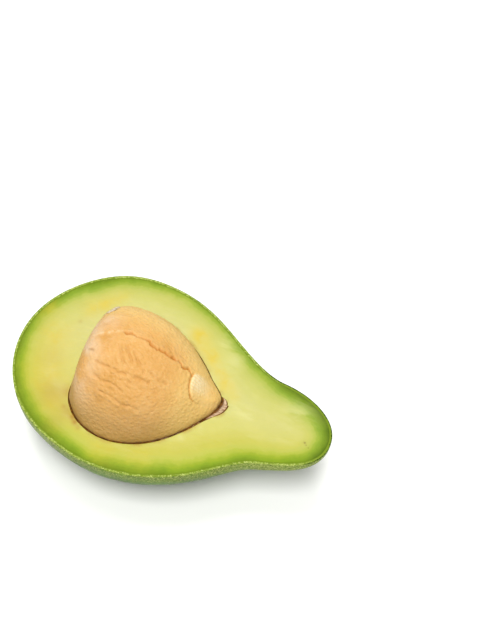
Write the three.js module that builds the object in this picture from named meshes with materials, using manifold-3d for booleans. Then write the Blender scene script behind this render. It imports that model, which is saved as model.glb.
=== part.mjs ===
// Half of a pear-shaped, smooth green avocado, cut lengthwise, with its pit still in the hollow.
//
// Millimetres, +Z up. The half lies on its back: the cut face is level and faces up, the neck points
// along +X, and the origin is on the surface that it rests on, under the middle of its outline.
// Inside the file every body is made in the fruit's own frame, where x runs from the butt to the tip of
// the neck along the fruit's axis and z = 0 is the plane of the cut. The group at the end places them.
import * as THREE from "three";
import { mergeVertices } from "three/addons/utils/BufferGeometryUtils.js";
import Module from "manifold-3d";

const wasm = await Module();
wasm.setup();

// ---------------------------------------------------------------- driving dimensions

// The fruit. A profile holds cubic curves of [x, radius], joined end to end, from pole to pole.
const FRUIT_LENGTH = 114;
const BELLY = { at: 41, radius: 35.5 }; // the widest place
const NECK = { at: 92, radius: 15.3 }; // where the slim neck starts to round off
const FRUIT_PROFILE = [
  [[0, 0], [0, 19.6], [18.4, BELLY.radius], [BELLY.at, BELLY.radius]],
  [[BELLY.at, BELLY.radius], [66, BELLY.radius], [80, 17.5], [NECK.at, NECK.radius]],
  [[NECK.at, NECK.radius], [103, 13.3], [FRUIT_LENGTH, 9.4], [FRUIT_LENGTH, 0]],
];
const BEND = { reach: 1.5, middle: 50, period: 80 }; // the neck leans to one side and back,
const SWAY = { reach: 0.45, crest: 18, period: 42 }; // and the outline wavers a little about that
const DEPTH_RATIO = { butt: 0.98, neck: 1.05 }; // depth under the cut over half the width

// The widest place of each section lies under the cut, by these degrees round the section.
const CUT_RISE = { butt: 9, belly: 6.5, neck: 16, neckStart: 60 };
const REST_DEPTH = 34.9; // the belly is pressed flat here, under the cut

// The layers, from the outside in. CLEAR is the gap that parts the solids.
const CLEAR = 0.3;
const SKIN_THICKNESS = 1.0;
const COAT_THICKNESS = 0.5;

// The pit, in the same kind of profile, blunt at the butt end and pointed at the neck end.
const PIT_LENGTH = 49.7;
const PIT_RADIUS = 23.2;
const PIT_SHOULDER = 17.2; // distance from its base to its widest place
const PIT_NOSE = { at: 43.6, radius: 8 }; // where its cone starts to round off
const PIT_PROFILE = [
  [[0, 0], [0, 20.7], [4.5, PIT_RADIUS], [PIT_SHOULDER, PIT_RADIUS]],
  [[PIT_SHOULDER, PIT_RADIUS], [32.1, PIT_RADIUS], [41.6, 10.5], [PIT_NOSE.at, PIT_NOSE.radius]],
  [[PIT_NOSE.at, PIT_NOSE.radius], [45, 6.25], [PIT_LENGTH, 2.3], [PIT_LENGTH, 0]],
];
const PIT_PLACE = { x: 24.2, y: -0.8, z: -1.1 }; // its base, beside the axis and just under the cut
const PIT_LEAN = -0.05; // it lies turned to -Y by this share of its length,
const PIT_SWING = { start: 27.7, reach: 3.6 }; // and from start on curves back to +Y, by reach at its point
const PIT_DEPTH_RATIO = 0.93; // its height over its width

// From start on the hollow is roomier than the pit, by reach at its point, which lies aside of the pit's.
const HOLLOW_TIP = { start: 36, reach: 1.5, aside: -0.7 };

// The seam between the two halves of the seed, and the lobe over its germ, with a groove along its edge.
// Angles are in degrees round the pit, from +Y over the top. A place aside of the lobe's middle is given
// as a share of its halfSpan, and each fade is how long the form takes to come or go.
const SEAM = { angle: 73, sweep: 11, straight: 18, depth: 0.8, start: 3, fadeIn: 6, end: 39.5, fadeOut: 3 };
const LOBE = { start: 38.9, recede: 5.2, angle: 78, halfSpan: 48, height: 0.5, groove: 0.5, width: 1.1 };
const LOBE_FADE = { fromAside: 0.43, toAside: 1.14, atPoint: 6 };

// The scar where the stem broke off, on the round end of the neck.
const SCAR = { along: 0.72, radius: 3, length: 2.4, proud: 0.2 };

// How finely each body is faceted.
const FRUIT_STEPS = { perCurve: [11, 13, 9], across: 20 };
const PIT_STEPS = { perCurve: [8, 22, 7] };
const LINING_STEPS = { perCurve: [8, 14, 6], around: 36 };
const SCAR_SIDES = 20;

// ---------------------------------------------------------------- profiles

const smooth = (t) => THREE.MathUtils.smoothstep(t, 0, 1);
const radians = THREE.MathUtils.degToRad;

/** Points of a profile moved outwards by outset(x), a list of {x, radius} from pole to pole. */
function profilePoints(curves, perCurve, outset) {
  const points = [];
  curves.forEach((corners, i) => {
    const curve = new THREE.CubicBezierCurve(...corners.map(([x, r]) => new THREE.Vector2(x, r)));
    for (let step = i === 0 ? 0 : 1; step <= perCurve[i]; step++) {
      const t = step / perCurve[i];
      const at = curve.getPoint(t);
      const along = curve.getTangent(t);
      const reach = outset(at.x);
      points.push({ x: at.x - along.y * reach, radius: Math.max(0, at.y + along.x * reach) });
    }
  });
  points[0].radius = 0;
  points[points.length - 1].radius = 0;
  return points;
}

/** How far the fruit's axis stands aside at x. */
function bendAt(x) {
  const along = THREE.MathUtils.clamp(x / FRUIT_LENGTH, 0, 1);
  const lean = -BEND.reach * Math.sin((2 * Math.PI * (x - BEND.middle)) / BEND.period);
  const sway = SWAY.reach * Math.cos((2 * Math.PI * (x - SWAY.crest)) / SWAY.period);
  return Math.sin(Math.PI * along) * (lean + sway);
}

/** Depth of the half over half its width at x. */
function depthRatioAt(x) {
  return THREE.MathUtils.lerp(DEPTH_RATIO.butt, DEPTH_RATIO.neck, x / FRUIT_LENGTH);
}

/** The angle by which the widest place lies under the cut at x, in radians. */
function cutRiseAt(x) {
  const toButt = 1 - THREE.MathUtils.smoothstep(x, 0, BELLY.at);
  const toNeck = THREE.MathUtils.smoothstep(x, CUT_RISE.neckStart, NECK.at);
  const { butt, belly, neck } = CUT_RISE;
  return radians(belly + (butt - belly) * toButt + (neck - belly) * toNeck);
}

/** A point of the fruit's round side, at an angle that runs from the +Y rim under the fruit to the -Y rim. */
function sidePoint({ x, radius }, angle) {
  const rise = cutRiseAt(x);
  const turn = THREE.MathUtils.lerp(-rise, Math.PI + rise, angle / Math.PI);
  return new THREE.Vector3(
    x,
    bendAt(x) + (radius * Math.cos(turn)) / Math.cos(rise),
    (-depthRatioAt(x) * radius * (Math.sin(turn) + Math.sin(rise))) / (1 + Math.sin(rise)),
  );
}

// ---------------------------------------------------------------- solids

/** A closed mesh as a manifold-3d solid, its shared corners merged and its flat faces dropped. */
function solidOf(geometry) {
  const bare = new THREE.BufferGeometry().setAttribute("position", geometry.getAttribute("position"));
  if (geometry.index) bare.setIndex(geometry.index);
  const merged = mergeVertices(bare, 1e-4);
  const corners = merged.index.array;
  const kept = [];
  for (let i = 0; i < corners.length; i += 3) {
    const [a, b, c] = corners.subarray(i, i + 3);
    if (a !== b && b !== c && c !== a) kept.push(a, b, c);
  }
  return new wasm.Manifold(
    new wasm.Mesh({
      numProp: 3,
      vertProperties: merged.attributes.position.array,
      triVerts: new Uint32Array(kept),
    }),
  );
}

/** A solid stitched through closed rings of points, whose first and last rings have no area. */
function loft(rings) {
  const around = rings[0].length;
  const positions = rings.flat().flatMap((p) => p.toArray());
  const faces = [];
  for (let i = 0; i + 1 < rings.length; i++)
    for (let j = 0; j < around; j++) {
      const next = (j + 1) % around;
      const [a, b, c, d] = [i * around + j, i * around + next, (i + 1) * around + next, (i + 1) * around + j];
      faces.push(a, c, b, a, d, c);
    }
  const geometry = new THREE.BufferGeometry();
  geometry.setAttribute("position", new THREE.Float32BufferAttribute(positions, 3));
  geometry.setIndex(faces);
  const made = solidOf(geometry);
  if (made.volume() > 0) return made;
  geometry.setIndex(faces.reverse());
  return solidOf(geometry);
}

/** A box between two corners. */
function block(low, high) {
  const size = new THREE.Vector3().subVectors(high, low);
  const box = new THREE.BoxGeometry(size.x, size.y, size.z);
  box.translate(...new THREE.Vector3().addVectors(low, high).multiplyScalar(0.5).toArray());
  return solidOf(box);
}

/** The part of space under a level, or over it, wide enough for the whole fruit. */
function halfSpace(level, side) {
  const far = 2 * FRUIT_LENGTH;
  const other = level + side * far;
  return block(
    new THREE.Vector3(-far, -far, Math.min(level, other)),
    new THREE.Vector3(far, far, Math.max(level, other)),
  );
}

/** The half fruit moved inwards by inset, flat where it rests, and carried up past the cut by rise. */
function halfBody(inset, rise) {
  const rings = profilePoints(FRUIT_PROFILE, FRUIT_STEPS.perCurve, () => -inset).map((place) => {
    const ring = [];
    for (let j = 0; j <= FRUIT_STEPS.across; j++)
      ring.push(sidePoint(place, (Math.PI * j) / FRUIT_STEPS.across));
    if (rise > 0)
      for (const angle of [Math.PI, 0]) {
        const top = sidePoint(place, angle);
        top.z = rise;
        ring.push(top);
      }
    return ring;
  });
  return loft(rings).subtract(halfSpace(inset - REST_DEPTH, -1));
}

/** Angle of the seed's seam, in degrees, at a distance from its base: it sweeps in, then runs straight. */
function seamAngle(x) {
  return SEAM.angle + SEAM.sweep * (1 - THREE.MathUtils.smoothstep(x, 0, SEAM.straight));
}

/** How far the seed's surface stands out at a distance from its base and an angle in degrees. */
function seedRelief(x, angle) {
  let relief = 0;
  if (angle === seamAngle(x)) {
    const inRun = smooth((x - SEAM.start) / SEAM.fadeIn) * smooth((SEAM.end - x) / SEAM.fadeOut);
    relief -= SEAM.depth * inRun;
  }
  const aside = (angle - LOBE.angle) / LOBE.halfSpan;
  const edge = LOBE.start + LOBE.recede * aside * aside;
  const beside = THREE.MathUtils.smoothstep(Math.abs(aside), LOBE_FADE.fromAside, LOBE_FADE.toAside);
  const fade = (1 - beside) * smooth((PIT_LENGTH - x) / LOBE_FADE.atPoint);
  relief += LOBE.height * fade * smooth((x - edge) / LOBE.width);
  relief -= LOBE.groove * fade * Math.exp(-(((x - edge) / LOBE.width) ** 2));
  return relief;
}

/** Angles round the seed, in degrees from its seam, close together beside it. */
const SEED_ANGLES = [
  0, 2.5, 6, 12, 20, 29, 38, 47, 57, 68, 80, 93, 107, 121, 136, 151, 166, 180,
].flatMap((a) => (a === 0 || a === 180 ? [a] : [a, -a]));

/** How far the pit's axis stands aside at a distance from its base. */
function pitAxisAt(x) {
  const swung = Math.max(0, (x - PIT_SWING.start) / (PIT_LENGTH - PIT_SWING.start));
  return PIT_PLACE.y + PIT_LEAN * (x - PIT_LENGTH / 2) + PIT_SWING.reach * swung * swung;
}

/** A point round the pit's axis at an angle in degrees from +Y, over the top. */
function pitPoint({ x, radius }, angle) {
  return new THREE.Vector3(
    PIT_PLACE.x + x,
    pitAxisAt(x) + radius * Math.cos(radians(angle)),
    PIT_PLACE.z + PIT_DEPTH_RATIO * radius * Math.sin(radians(angle)),
  );
}

/** The peeled seed, with its seam and the lobe at its point. */
function seedBody() {
  const turns = [...SEED_ANGLES].sort((a, b) => a - b);
  const rings = profilePoints(PIT_PROFILE, PIT_STEPS.perCurve, () => 0).map(({ x, radius }) =>
    turns.map((turn) => {
      const angle = seamAngle(x) + turn;
      const out = radius > 0 ? radius + seedRelief(x, angle) : 0;
      return pitPoint({ x, radius: out }, angle);
    }),
  );
  return loft(rings);
}

/** The seed's plain shape moved outwards, and drawn out at its point: the inside or outside of a lining. */
function hollowBody(outset) {
  const widening = (x) => THREE.MathUtils.smoothstep(x, HOLLOW_TIP.start, PIT_LENGTH);
  const reach = (x) => outset + HOLLOW_TIP.reach * widening(x);
  const rings = profilePoints(PIT_PROFILE, LINING_STEPS.perCurve, reach).map((place) =>
    Array.from({ length: LINING_STEPS.around }, (_, j) => {
      const point = pitPoint(place, (360 * j) / LINING_STEPS.around);
      point.y += HOLLOW_TIP.aside * widening(place.x);
      return point;
    }),
  );
  return loft(rings);
}

/** The place and outward direction of the stem scar, on the round end of the neck under the cut. */
function scarPlace() {
  const corners = FRUIT_PROFILE[FRUIT_PROFILE.length - 1].map(([x, r]) => new THREE.Vector2(x, r));
  const curve = new THREE.CubicBezierCurve(...corners);
  const at = curve.getPoint(SCAR.along);
  const along = curve.getTangent(SCAR.along);
  return {
    point: sidePoint({ x: at.x, radius: at.y }, Math.PI / 2),
    out: new THREE.Vector3(-along.y, 0, -along.x).normalize(),
  };
}

/** A round peg at the stem scar, from a depth under the skin's surface to a height over it. */
function scarPeg(radius, depth, height) {
  const { point, out } = scarPlace();
  const peg = new THREE.CylinderGeometry(radius, radius, depth + height, SCAR_SIDES);
  peg.translate(0, (height - depth) / 2, 0);
  peg.applyQuaternion(new THREE.Quaternion().setFromUnitVectors(new THREE.Vector3(0, 1, 0), out));
  peg.translate(point.x, point.y, point.z);
  return solidOf(peg);
}

// ---------------------------------------------------------------- the pieces

const fleshInset = SKIN_THICKNESS + CLEAR;
const coatInside = CLEAR;
const coatOutside = coatInside + COAT_THICKNESS;
const hollowOutset = coatOutside + CLEAR;
const scarSocket = scarPeg(SCAR.radius + CLEAR, SCAR.length + CLEAR, SCAR.length);

/** The peel: a thin cup, open at the cut. */
function skinSolid() {
  return halfBody(0, 0)
    .subtract(halfBody(SKIN_THICKNESS, SKIN_THICKNESS + CLEAR))
    .subtract(scarSocket);
}

/** The flesh, level at the cut, with the hollow that held the pit. */
function fleshSolid() {
  return halfBody(fleshInset, 0).subtract(hollowBody(hollowOutset)).subtract(scarSocket);
}

/** The brown papery coat of the seed, left behind as a lining of the hollow. */
function coatSolid() {
  return hollowBody(coatOutside).subtract(hollowBody(coatInside)).subtract(halfSpace(0, 1));
}

/** The corky end of the stem, set in the skin. */
function scarSolid() {
  return scarPeg(SCAR.radius, SCAR.length, SCAR.proud);
}

/** A solid as a named mesh with its own colour and finish. */
function piece(name, solid, color, roughness) {
  const { vertProperties, triVerts } = solid.getMesh();
  const geometry = new THREE.BufferGeometry();
  geometry.setAttribute("position", new THREE.BufferAttribute(vertProperties, 3));
  geometry.setIndex(new THREE.BufferAttribute(triVerts, 1));
  geometry.computeVertexNormals();
  const mesh = new THREE.Mesh(
    geometry,
    new THREE.MeshStandardMaterial({ color, roughness, metalness: 0, flatShading: true }),
  );
  mesh.name = name;
  return mesh;
}

const avocadoHalf = new THREE.Group();
avocadoHalf.add(
  piece("skin", skinSolid(), 0x3c6a24, 0.35),
  piece("flesh", fleshSolid(), 0xdcdc74, 0.45),
  piece("seed_coat", coatSolid(), 0x6b4423, 0.7),
  piece("pit", seedBody(), 0xe9b26b, 0.6),
  piece("stem_scar", scarSolid(), 0xc9b27a, 0.8),
);

const outline = new THREE.Box3().setFromObject(avocadoHalf.getObjectByName("skin"));
const middle = outline.getCenter(new THREE.Vector3());
avocadoHalf.position.set(-middle.x, -middle.y, REST_DEPTH);

export default avocadoHalf;
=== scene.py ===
"""Looks of half an avocado that lies on its back with its pit still in the hollow.

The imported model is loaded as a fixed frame. Each of its nodes is then replaced by a finer mesh that is
made from the same shapes. Shapes are worked out in the fruit's own frame, in millimetres: x runs from
the butt to the tip of the neck, and z = 0 is the plane of the cut. Placing turns them into metres in
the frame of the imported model.
"""

import logging
import math
from dataclasses import dataclass, replace
from enum import Enum, IntEnum
from typing import Callable, ClassVar, Optional, Sequence, Union

import bmesh
import bpy
import numpy as np
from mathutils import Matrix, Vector


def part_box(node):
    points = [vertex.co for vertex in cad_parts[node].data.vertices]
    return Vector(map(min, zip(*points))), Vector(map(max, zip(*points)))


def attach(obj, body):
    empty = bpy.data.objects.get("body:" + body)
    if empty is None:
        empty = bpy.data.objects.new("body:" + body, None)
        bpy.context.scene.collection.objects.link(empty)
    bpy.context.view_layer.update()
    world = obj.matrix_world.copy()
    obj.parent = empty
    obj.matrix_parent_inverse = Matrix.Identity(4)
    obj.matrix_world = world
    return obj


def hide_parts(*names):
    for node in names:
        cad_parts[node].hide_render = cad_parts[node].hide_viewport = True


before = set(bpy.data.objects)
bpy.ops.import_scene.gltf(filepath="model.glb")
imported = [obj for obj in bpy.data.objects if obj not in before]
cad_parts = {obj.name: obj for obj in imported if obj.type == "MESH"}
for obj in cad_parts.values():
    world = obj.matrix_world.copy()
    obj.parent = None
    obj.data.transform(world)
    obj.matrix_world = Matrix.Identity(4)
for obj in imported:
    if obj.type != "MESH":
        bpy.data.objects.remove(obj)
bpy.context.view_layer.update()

BODY = "root"
MM = 0.001
LOG = logging.getLogger("avocado")

Array = np.ndarray
Piece = bpy.types.Object
Material = bpy.types.Material
Socket = bpy.types.NodeSocket
Stops = tuple[tuple[float, float], ...]
Colours = tuple[tuple[float, str], ...]
Reach = tuple[float, float, float, float]
Spots = tuple[Reach, ...]
Outset = Union[float, Callable[[Array], Array]]


class CadNode(str, Enum):
    """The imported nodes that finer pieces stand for, which are also the record's material slots."""

    SKIN = "skin"
    FLESH = "flesh"
    SEED_COAT = "seed_coat"
    PIT = "pit"
    STEM_SCAR = "stem_scar"


class Blend(str, Enum):
    """The ways in which two colours are put together."""

    MIX = "MIX"
    MULTIPLY = "MULTIPLY"


class Sum(str, Enum):
    """The ways in which two values are put together."""

    PLUS = "ADD"
    TIMES = "MULTIPLY"
    GREATER = "MAXIMUM"


class Step(str, Enum):
    """The ways in which a value is taken from one range to another."""

    SMOOTH = "SMOOTHSTEP"
    STRAIGHT = "LINEAR"


class Draw(IntEnum):
    """The fixed seed of each random relief."""

    PEEL_WAVES = 3
    PEEL_PEBBLES = 5
    NEAR_EDGE = 11
    FAR_EDGE = 12
    FLESH_WAVES = 21
    KNIFE_MARKS = 23
    SEAM_BENDS = 31
    SEAM_STEPS = 33
    SEAM_TEETH = 34
    SEAM_WIDTH = 36
    SHUT_SEAM = 37
    LOBE_EDGE = 39
    GROOVE = 40
    RIBS = 41
    CREASE_STRAY = 43
    CREASE_BREAKS = 44
    SWIRL = 45
    PIT_WAVES = 51
    FOLDS = 53
    BUSY_PATCH = 54
    PIT_PEBBLES = 57
    FRONT_FOLDS = 58
    BACK_FOLDS = 59
    COAT_CRUMPLE = 61
    COAT_FOLDS = 63
    FLAKE_OUTLINE = 75
    FLAKE_RISE = 77
    FLAKE_COLOUR = 79
    CORK = 81


# ---------------------------------------------------------------- numbers and noise


def unit(value: Array) -> Array:
    """A value kept between 0 and 1."""
    return np.clip(value, 0.0, 1.0)


def ease(low: float, high: float, value: Array) -> Array:
    """A smooth step of value, from 0 at low to 1 at high."""
    t = unit((np.asarray(value, float) - low) / (high - low))
    return t * t * (3.0 - 2.0 * t)


def plateau(value: Array, start: float, full: float, fading: float, end: float) -> Array:
    """A smooth step of value up from start to full, and down again from fading to end."""
    return ease(start, full, value) * (1.0 - ease(fading, end, value))


def bell(value: Array, width: float) -> Array:
    """A bell curve of value, 1 at zero and low past width."""
    return np.exp(-((np.asarray(value, float) / width) ** 2))


def read(stops: Stops, value: Array) -> Array:
    """What a table of places and levels gives at value, straight between its stops."""
    return np.interp(value, *zip(*stops))


def lattice(cells: Array, seed: int) -> Array:
    """A fixed random number from -1 to 1 for each whole cell.

    Args:
        cells: Whole coordinates, x, y and z on the last axis.
        seed: Which set of numbers to use.

    Returns:
        One number for each cell.
    """
    primes = np.array([73856093, 19349663, 83492791], np.int64)
    mixed = (cells.astype(np.int64) * primes).sum(axis=-1) + seed * 2654435761
    for shift, factor in ((13, 1274126177), (15, 2246822519)):
        mixed = (mixed ^ (mixed >> shift)) * factor & 0xFFFFFFFF
    return ((mixed ^ (mixed >> 16)) & 0xFFFF) / 32767.5 - 1.0


def noise(points: Array, cell: float, seed: int, octaves: int = 1) -> Array:
    """Smooth noise from about -1 to 1.

    Args:
        points: Places in millimetres, x, y and z on the last axis.
        cell: Size of the largest lumps, in millimetres.
        seed: Which noise to use.
        octaves: How many finer layers are added, each half the size and strength.

    Returns:
        One value for each place.
    """
    total = np.zeros(points.shape[:-1])
    reach = 0.0
    for layer in range(octaves):
        strength = 0.5**layer
        scaled = points / cell * 2.0**layer + 17.3 * layer
        low = np.floor(scaled)
        part = scaled - low
        part = part * part * (3.0 - 2.0 * part)
        for corner in np.ndindex(2, 2, 2):
            side = np.array(corner)
            share = np.prod(np.where(side, part, 1.0 - part), axis=-1)
            total += strength * share * lattice(low + side, seed + layer)
        reach += strength
    return total / reach


def wander(along: Array, cell: float, seed: int, octaves: int = 2) -> Array:
    """Smooth noise along a line, from about -1 to 1."""
    return noise(along[..., None] * np.array([1.0, 0.0, 0.0]), cell, seed, octaves)


def distance_to_line(points: Array, line: Array, closed: bool = False) -> Array:
    """How far each point in a plane is from a line of straight stretches.

    Args:
        points: Places, n by 2.
        line: Corners of the line, m by 2.
        closed: Whether the last corner joins the first.

    Returns:
        One distance for each place.
    """
    batch = 4096
    start = line if closed else line[:-1]
    step = (np.roll(line, -1, axis=0) - line)[: len(start)]
    length = np.maximum((step**2).sum(axis=1), 1e-12)
    nearest = np.empty(len(points))
    for first in range(0, len(points), batch):
        gap = points[first : first + batch, None, :] - start
        off = gap - unit((gap * step).sum(axis=2) / length)[..., None] * step
        nearest[first : first + batch] = np.sqrt((off**2).sum(axis=2).min(axis=1))
    return nearest


def run_along(line: Array) -> Array:
    """How far along a line of straight stretches each of its corners is."""
    return np.r_[0.0, np.cumsum(np.hypot(*np.diff(line, axis=0).T))]


def even_loop(loop: Array, count: int) -> Array:
    """Points spaced evenly round a closed outline.

    Args:
        loop: The outline's corners, n by 2.
        count: How many points to give.

    Returns:
        The points, starting at the outline's first corner.
    """
    closed = np.vstack([loop, loop[:1]])
    run = run_along(closed)
    at = np.linspace(0.0, run[-1], count + 1)[:-1]
    return np.column_stack([np.interp(at, run, closed[:, i]) for i in range(2)])


def raised(plan: Array, height: Array) -> Array:
    """Points at heights over places seen from above."""
    return np.concatenate([plan, np.broadcast_to(height, plan.shape[:-1])[..., None]], axis=-1)


def cubic(corners: Stops, t: Array) -> tuple[Array, Array]:
    """Places and headings on a cubic curve.

    Args:
        corners: The curve's four control points.
        t: How far along the curve to read it, from 0 to 1.

    Returns:
        The places and the directions in which the curve runs there.
    """
    a, b, c, d = (np.array(corner) for corner in corners)
    place = (1 - t) ** 3 * a + 3 * (1 - t) ** 2 * t * b + 3 * (1 - t) * t**2 * c + t**3 * d
    return place, (1 - t) ** 2 * (b - a) + 2 * (1 - t) * t * (c - b) + t**2 * (d - c)


# ---------------------------------------------------------------- shapes shared with the frame


@dataclass(frozen=True)
class Profile:
    """Cubic curves of (x, radius), joined end to end, from pole to pole."""

    curves: tuple[Stops, ...]
    curve_steps: int = 400
    fewest_points: int = 8

    def sample(self, spacing: float, outset: Outset = 0.0) -> tuple[Array, Array]:
        """Points along the profile, moved outwards.

        Args:
            spacing: About how far apart the points are, in millimetres.
            outset: How far out the points move, or what gives that from their x.

        Returns:
            The points' x and radius.
        """
        t = np.linspace(0.0, 1.0, self.curve_steps)[:, None]
        place, heading = (np.vstack(part) for part in zip(*(cubic(corners, t) for corners in self.curves)))
        heading /= np.hypot(*heading.T)[:, None]
        reach = outset(place[:, 0]) if callable(outset) else outset
        moved = place + np.column_stack([-heading[:, 1] * reach, heading[:, 0] * reach])
        run = run_along(moved)
        at = np.linspace(0.0, run[-1], max(self.fewest_points, round(run[-1] / spacing)))
        x, radius = (np.interp(at, run, moved[:, i]) for i in range(2))
        radius[[0, -1]] = 0.0
        return x, np.maximum(radius, 0.0)

    def radius(self, x: Array, outset: Outset = 0.0) -> Array:
        """The radius at x of the profile moved outwards."""
        return np.interp(x, *self.sample(0.1, outset))


@dataclass(frozen=True)
class Fruit:
    """The half fruit's outer shape."""

    length: float = 114.0
    profile: Profile = Profile((
        ((0.0, 0.0), (0.0, 19.6), (18.4, 35.5), (41.0, 35.5)),
        ((41.0, 35.5), (66.0, 35.5), (80.0, 17.5), (92.0, 15.3)),
        ((92.0, 15.3), (103.0, 13.3), (114.0, 9.4), (114.0, 0.0)),
    ))
    bend_reach: float = 1.5
    bend_middle: float = 50.0
    bend_period: float = 80.0
    sway_reach: float = 0.45
    sway_crest: float = 18.0
    sway_period: float = 42.0
    belly_at: float = 41.0
    neck_at: float = 92.0
    neck_start: float = 60.0
    butt_rise: float = 9.0
    belly_rise: float = 6.5
    neck_rise: float = 16.0
    butt_depth_ratio: float = 0.98
    neck_depth_ratio: float = 1.05
    skin_thickness: float = 1.0
    scar_share: float = 0.72

    def bend(self, x: Array) -> Array:
        """How far the fruit's axis stands aside.

        Args:
            x: Places along the fruit.

        Returns:
            One distance for each place.
        """
        x = np.asarray(x)
        lean = -self.bend_reach * np.sin(2.0 * np.pi * (x - self.bend_middle) / self.bend_period)
        sway = self.sway_reach * np.cos(2.0 * np.pi * (x - self.sway_crest) / self.sway_period)
        return np.sin(np.pi * unit(x / self.length)) * (lean + sway)

    def depth_ratio(self, x: Array) -> Array:
        """Depth of the half over half its width at x."""
        return self.butt_depth_ratio + (self.neck_depth_ratio - self.butt_depth_ratio) * x / self.length

    def cut_rise(self, x: Array) -> Array:
        """The angle by which the widest place lies under the cut.

        Args:
            x: Places along the fruit.

        Returns:
            One angle for each place, in radians.
        """
        to_butt = 1 - ease(0.0, self.belly_at, x)
        to_neck = ease(self.neck_start, self.neck_at, x)
        more = (self.butt_rise - self.belly_rise) * to_butt + (self.neck_rise - self.belly_rise) * to_neck
        return np.radians(self.belly_rise + more)

    def side(self, x: Array, radius: Array, angle: Array) -> Array:
        """Points of the round side.

        Args:
            x: Their places along the fruit.
            radius: The profile's radius there.
            angle: Angles in radians from the +Y rim, under the fruit, to the -Y rim.

        Returns:
            The points, on the last axis.
        """
        rise = self.cut_rise(x)
        turn = -rise + (np.pi + 2 * rise) * angle / np.pi
        drop = self.depth_ratio(x) * radius * (np.sin(turn) + np.sin(rise)) / (1 + np.sin(rise))
        return np.stack([x + 0.0 * turn, self.bend(x) + radius * np.cos(turn) / np.cos(rise), -drop], axis=-1)

    def outline(self, inset: float, count: int) -> Array:
        """The outline on the cut plane.

        Args:
            inset: How far inwards it is moved.
            count: How many points to give.

        Returns:
            Points spaced evenly, from the butt round the +Y side.
        """
        x, radius = self.profile.sample(0.3, -inset)
        upper, lower = (np.column_stack([x, self.bend(x) + sign * radius]) for sign in (1, -1))
        return even_loop(np.vstack([upper, lower[-2:0:-1]]), count)

    def scar(self) -> tuple[Array, Array]:
        """Where the stem scar is, under the cut on the round neck end.

        Returns:
            Its place and its outward direction.
        """
        (x, radius), (run, climb) = cubic(self.profile.curves[-1], self.scar_share)
        out = np.array([-climb, 0.0, -run])
        return self.side(x, radius, np.array(np.pi / 2)), out / np.linalg.norm(out)


@dataclass(frozen=True)
class Offset:
    """How far something stands off the pit's plain side, at distances from the pit's base."""

    stops: Stops
    more: float = 0.0

    def at(self, x: Array) -> Array:
        """The offset at distances from the base."""
        return read(self.stops, x) + self.more


@dataclass(frozen=True)
class Lining:
    """A wall round the pit, which stands off it differently on the two sides of the cut."""

    near: Offset
    far: Offset
    aside: float = 0.0
    aside_start: float = 48.3
    aside_end: float = 52.8

    def wider(self, by: float) -> "Lining":
        """The same wall, further out by a little."""
        near, far = (replace(offset, more=offset.more + by) for offset in (self.near, self.far))
        return replace(self, near=near, far=far)


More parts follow.
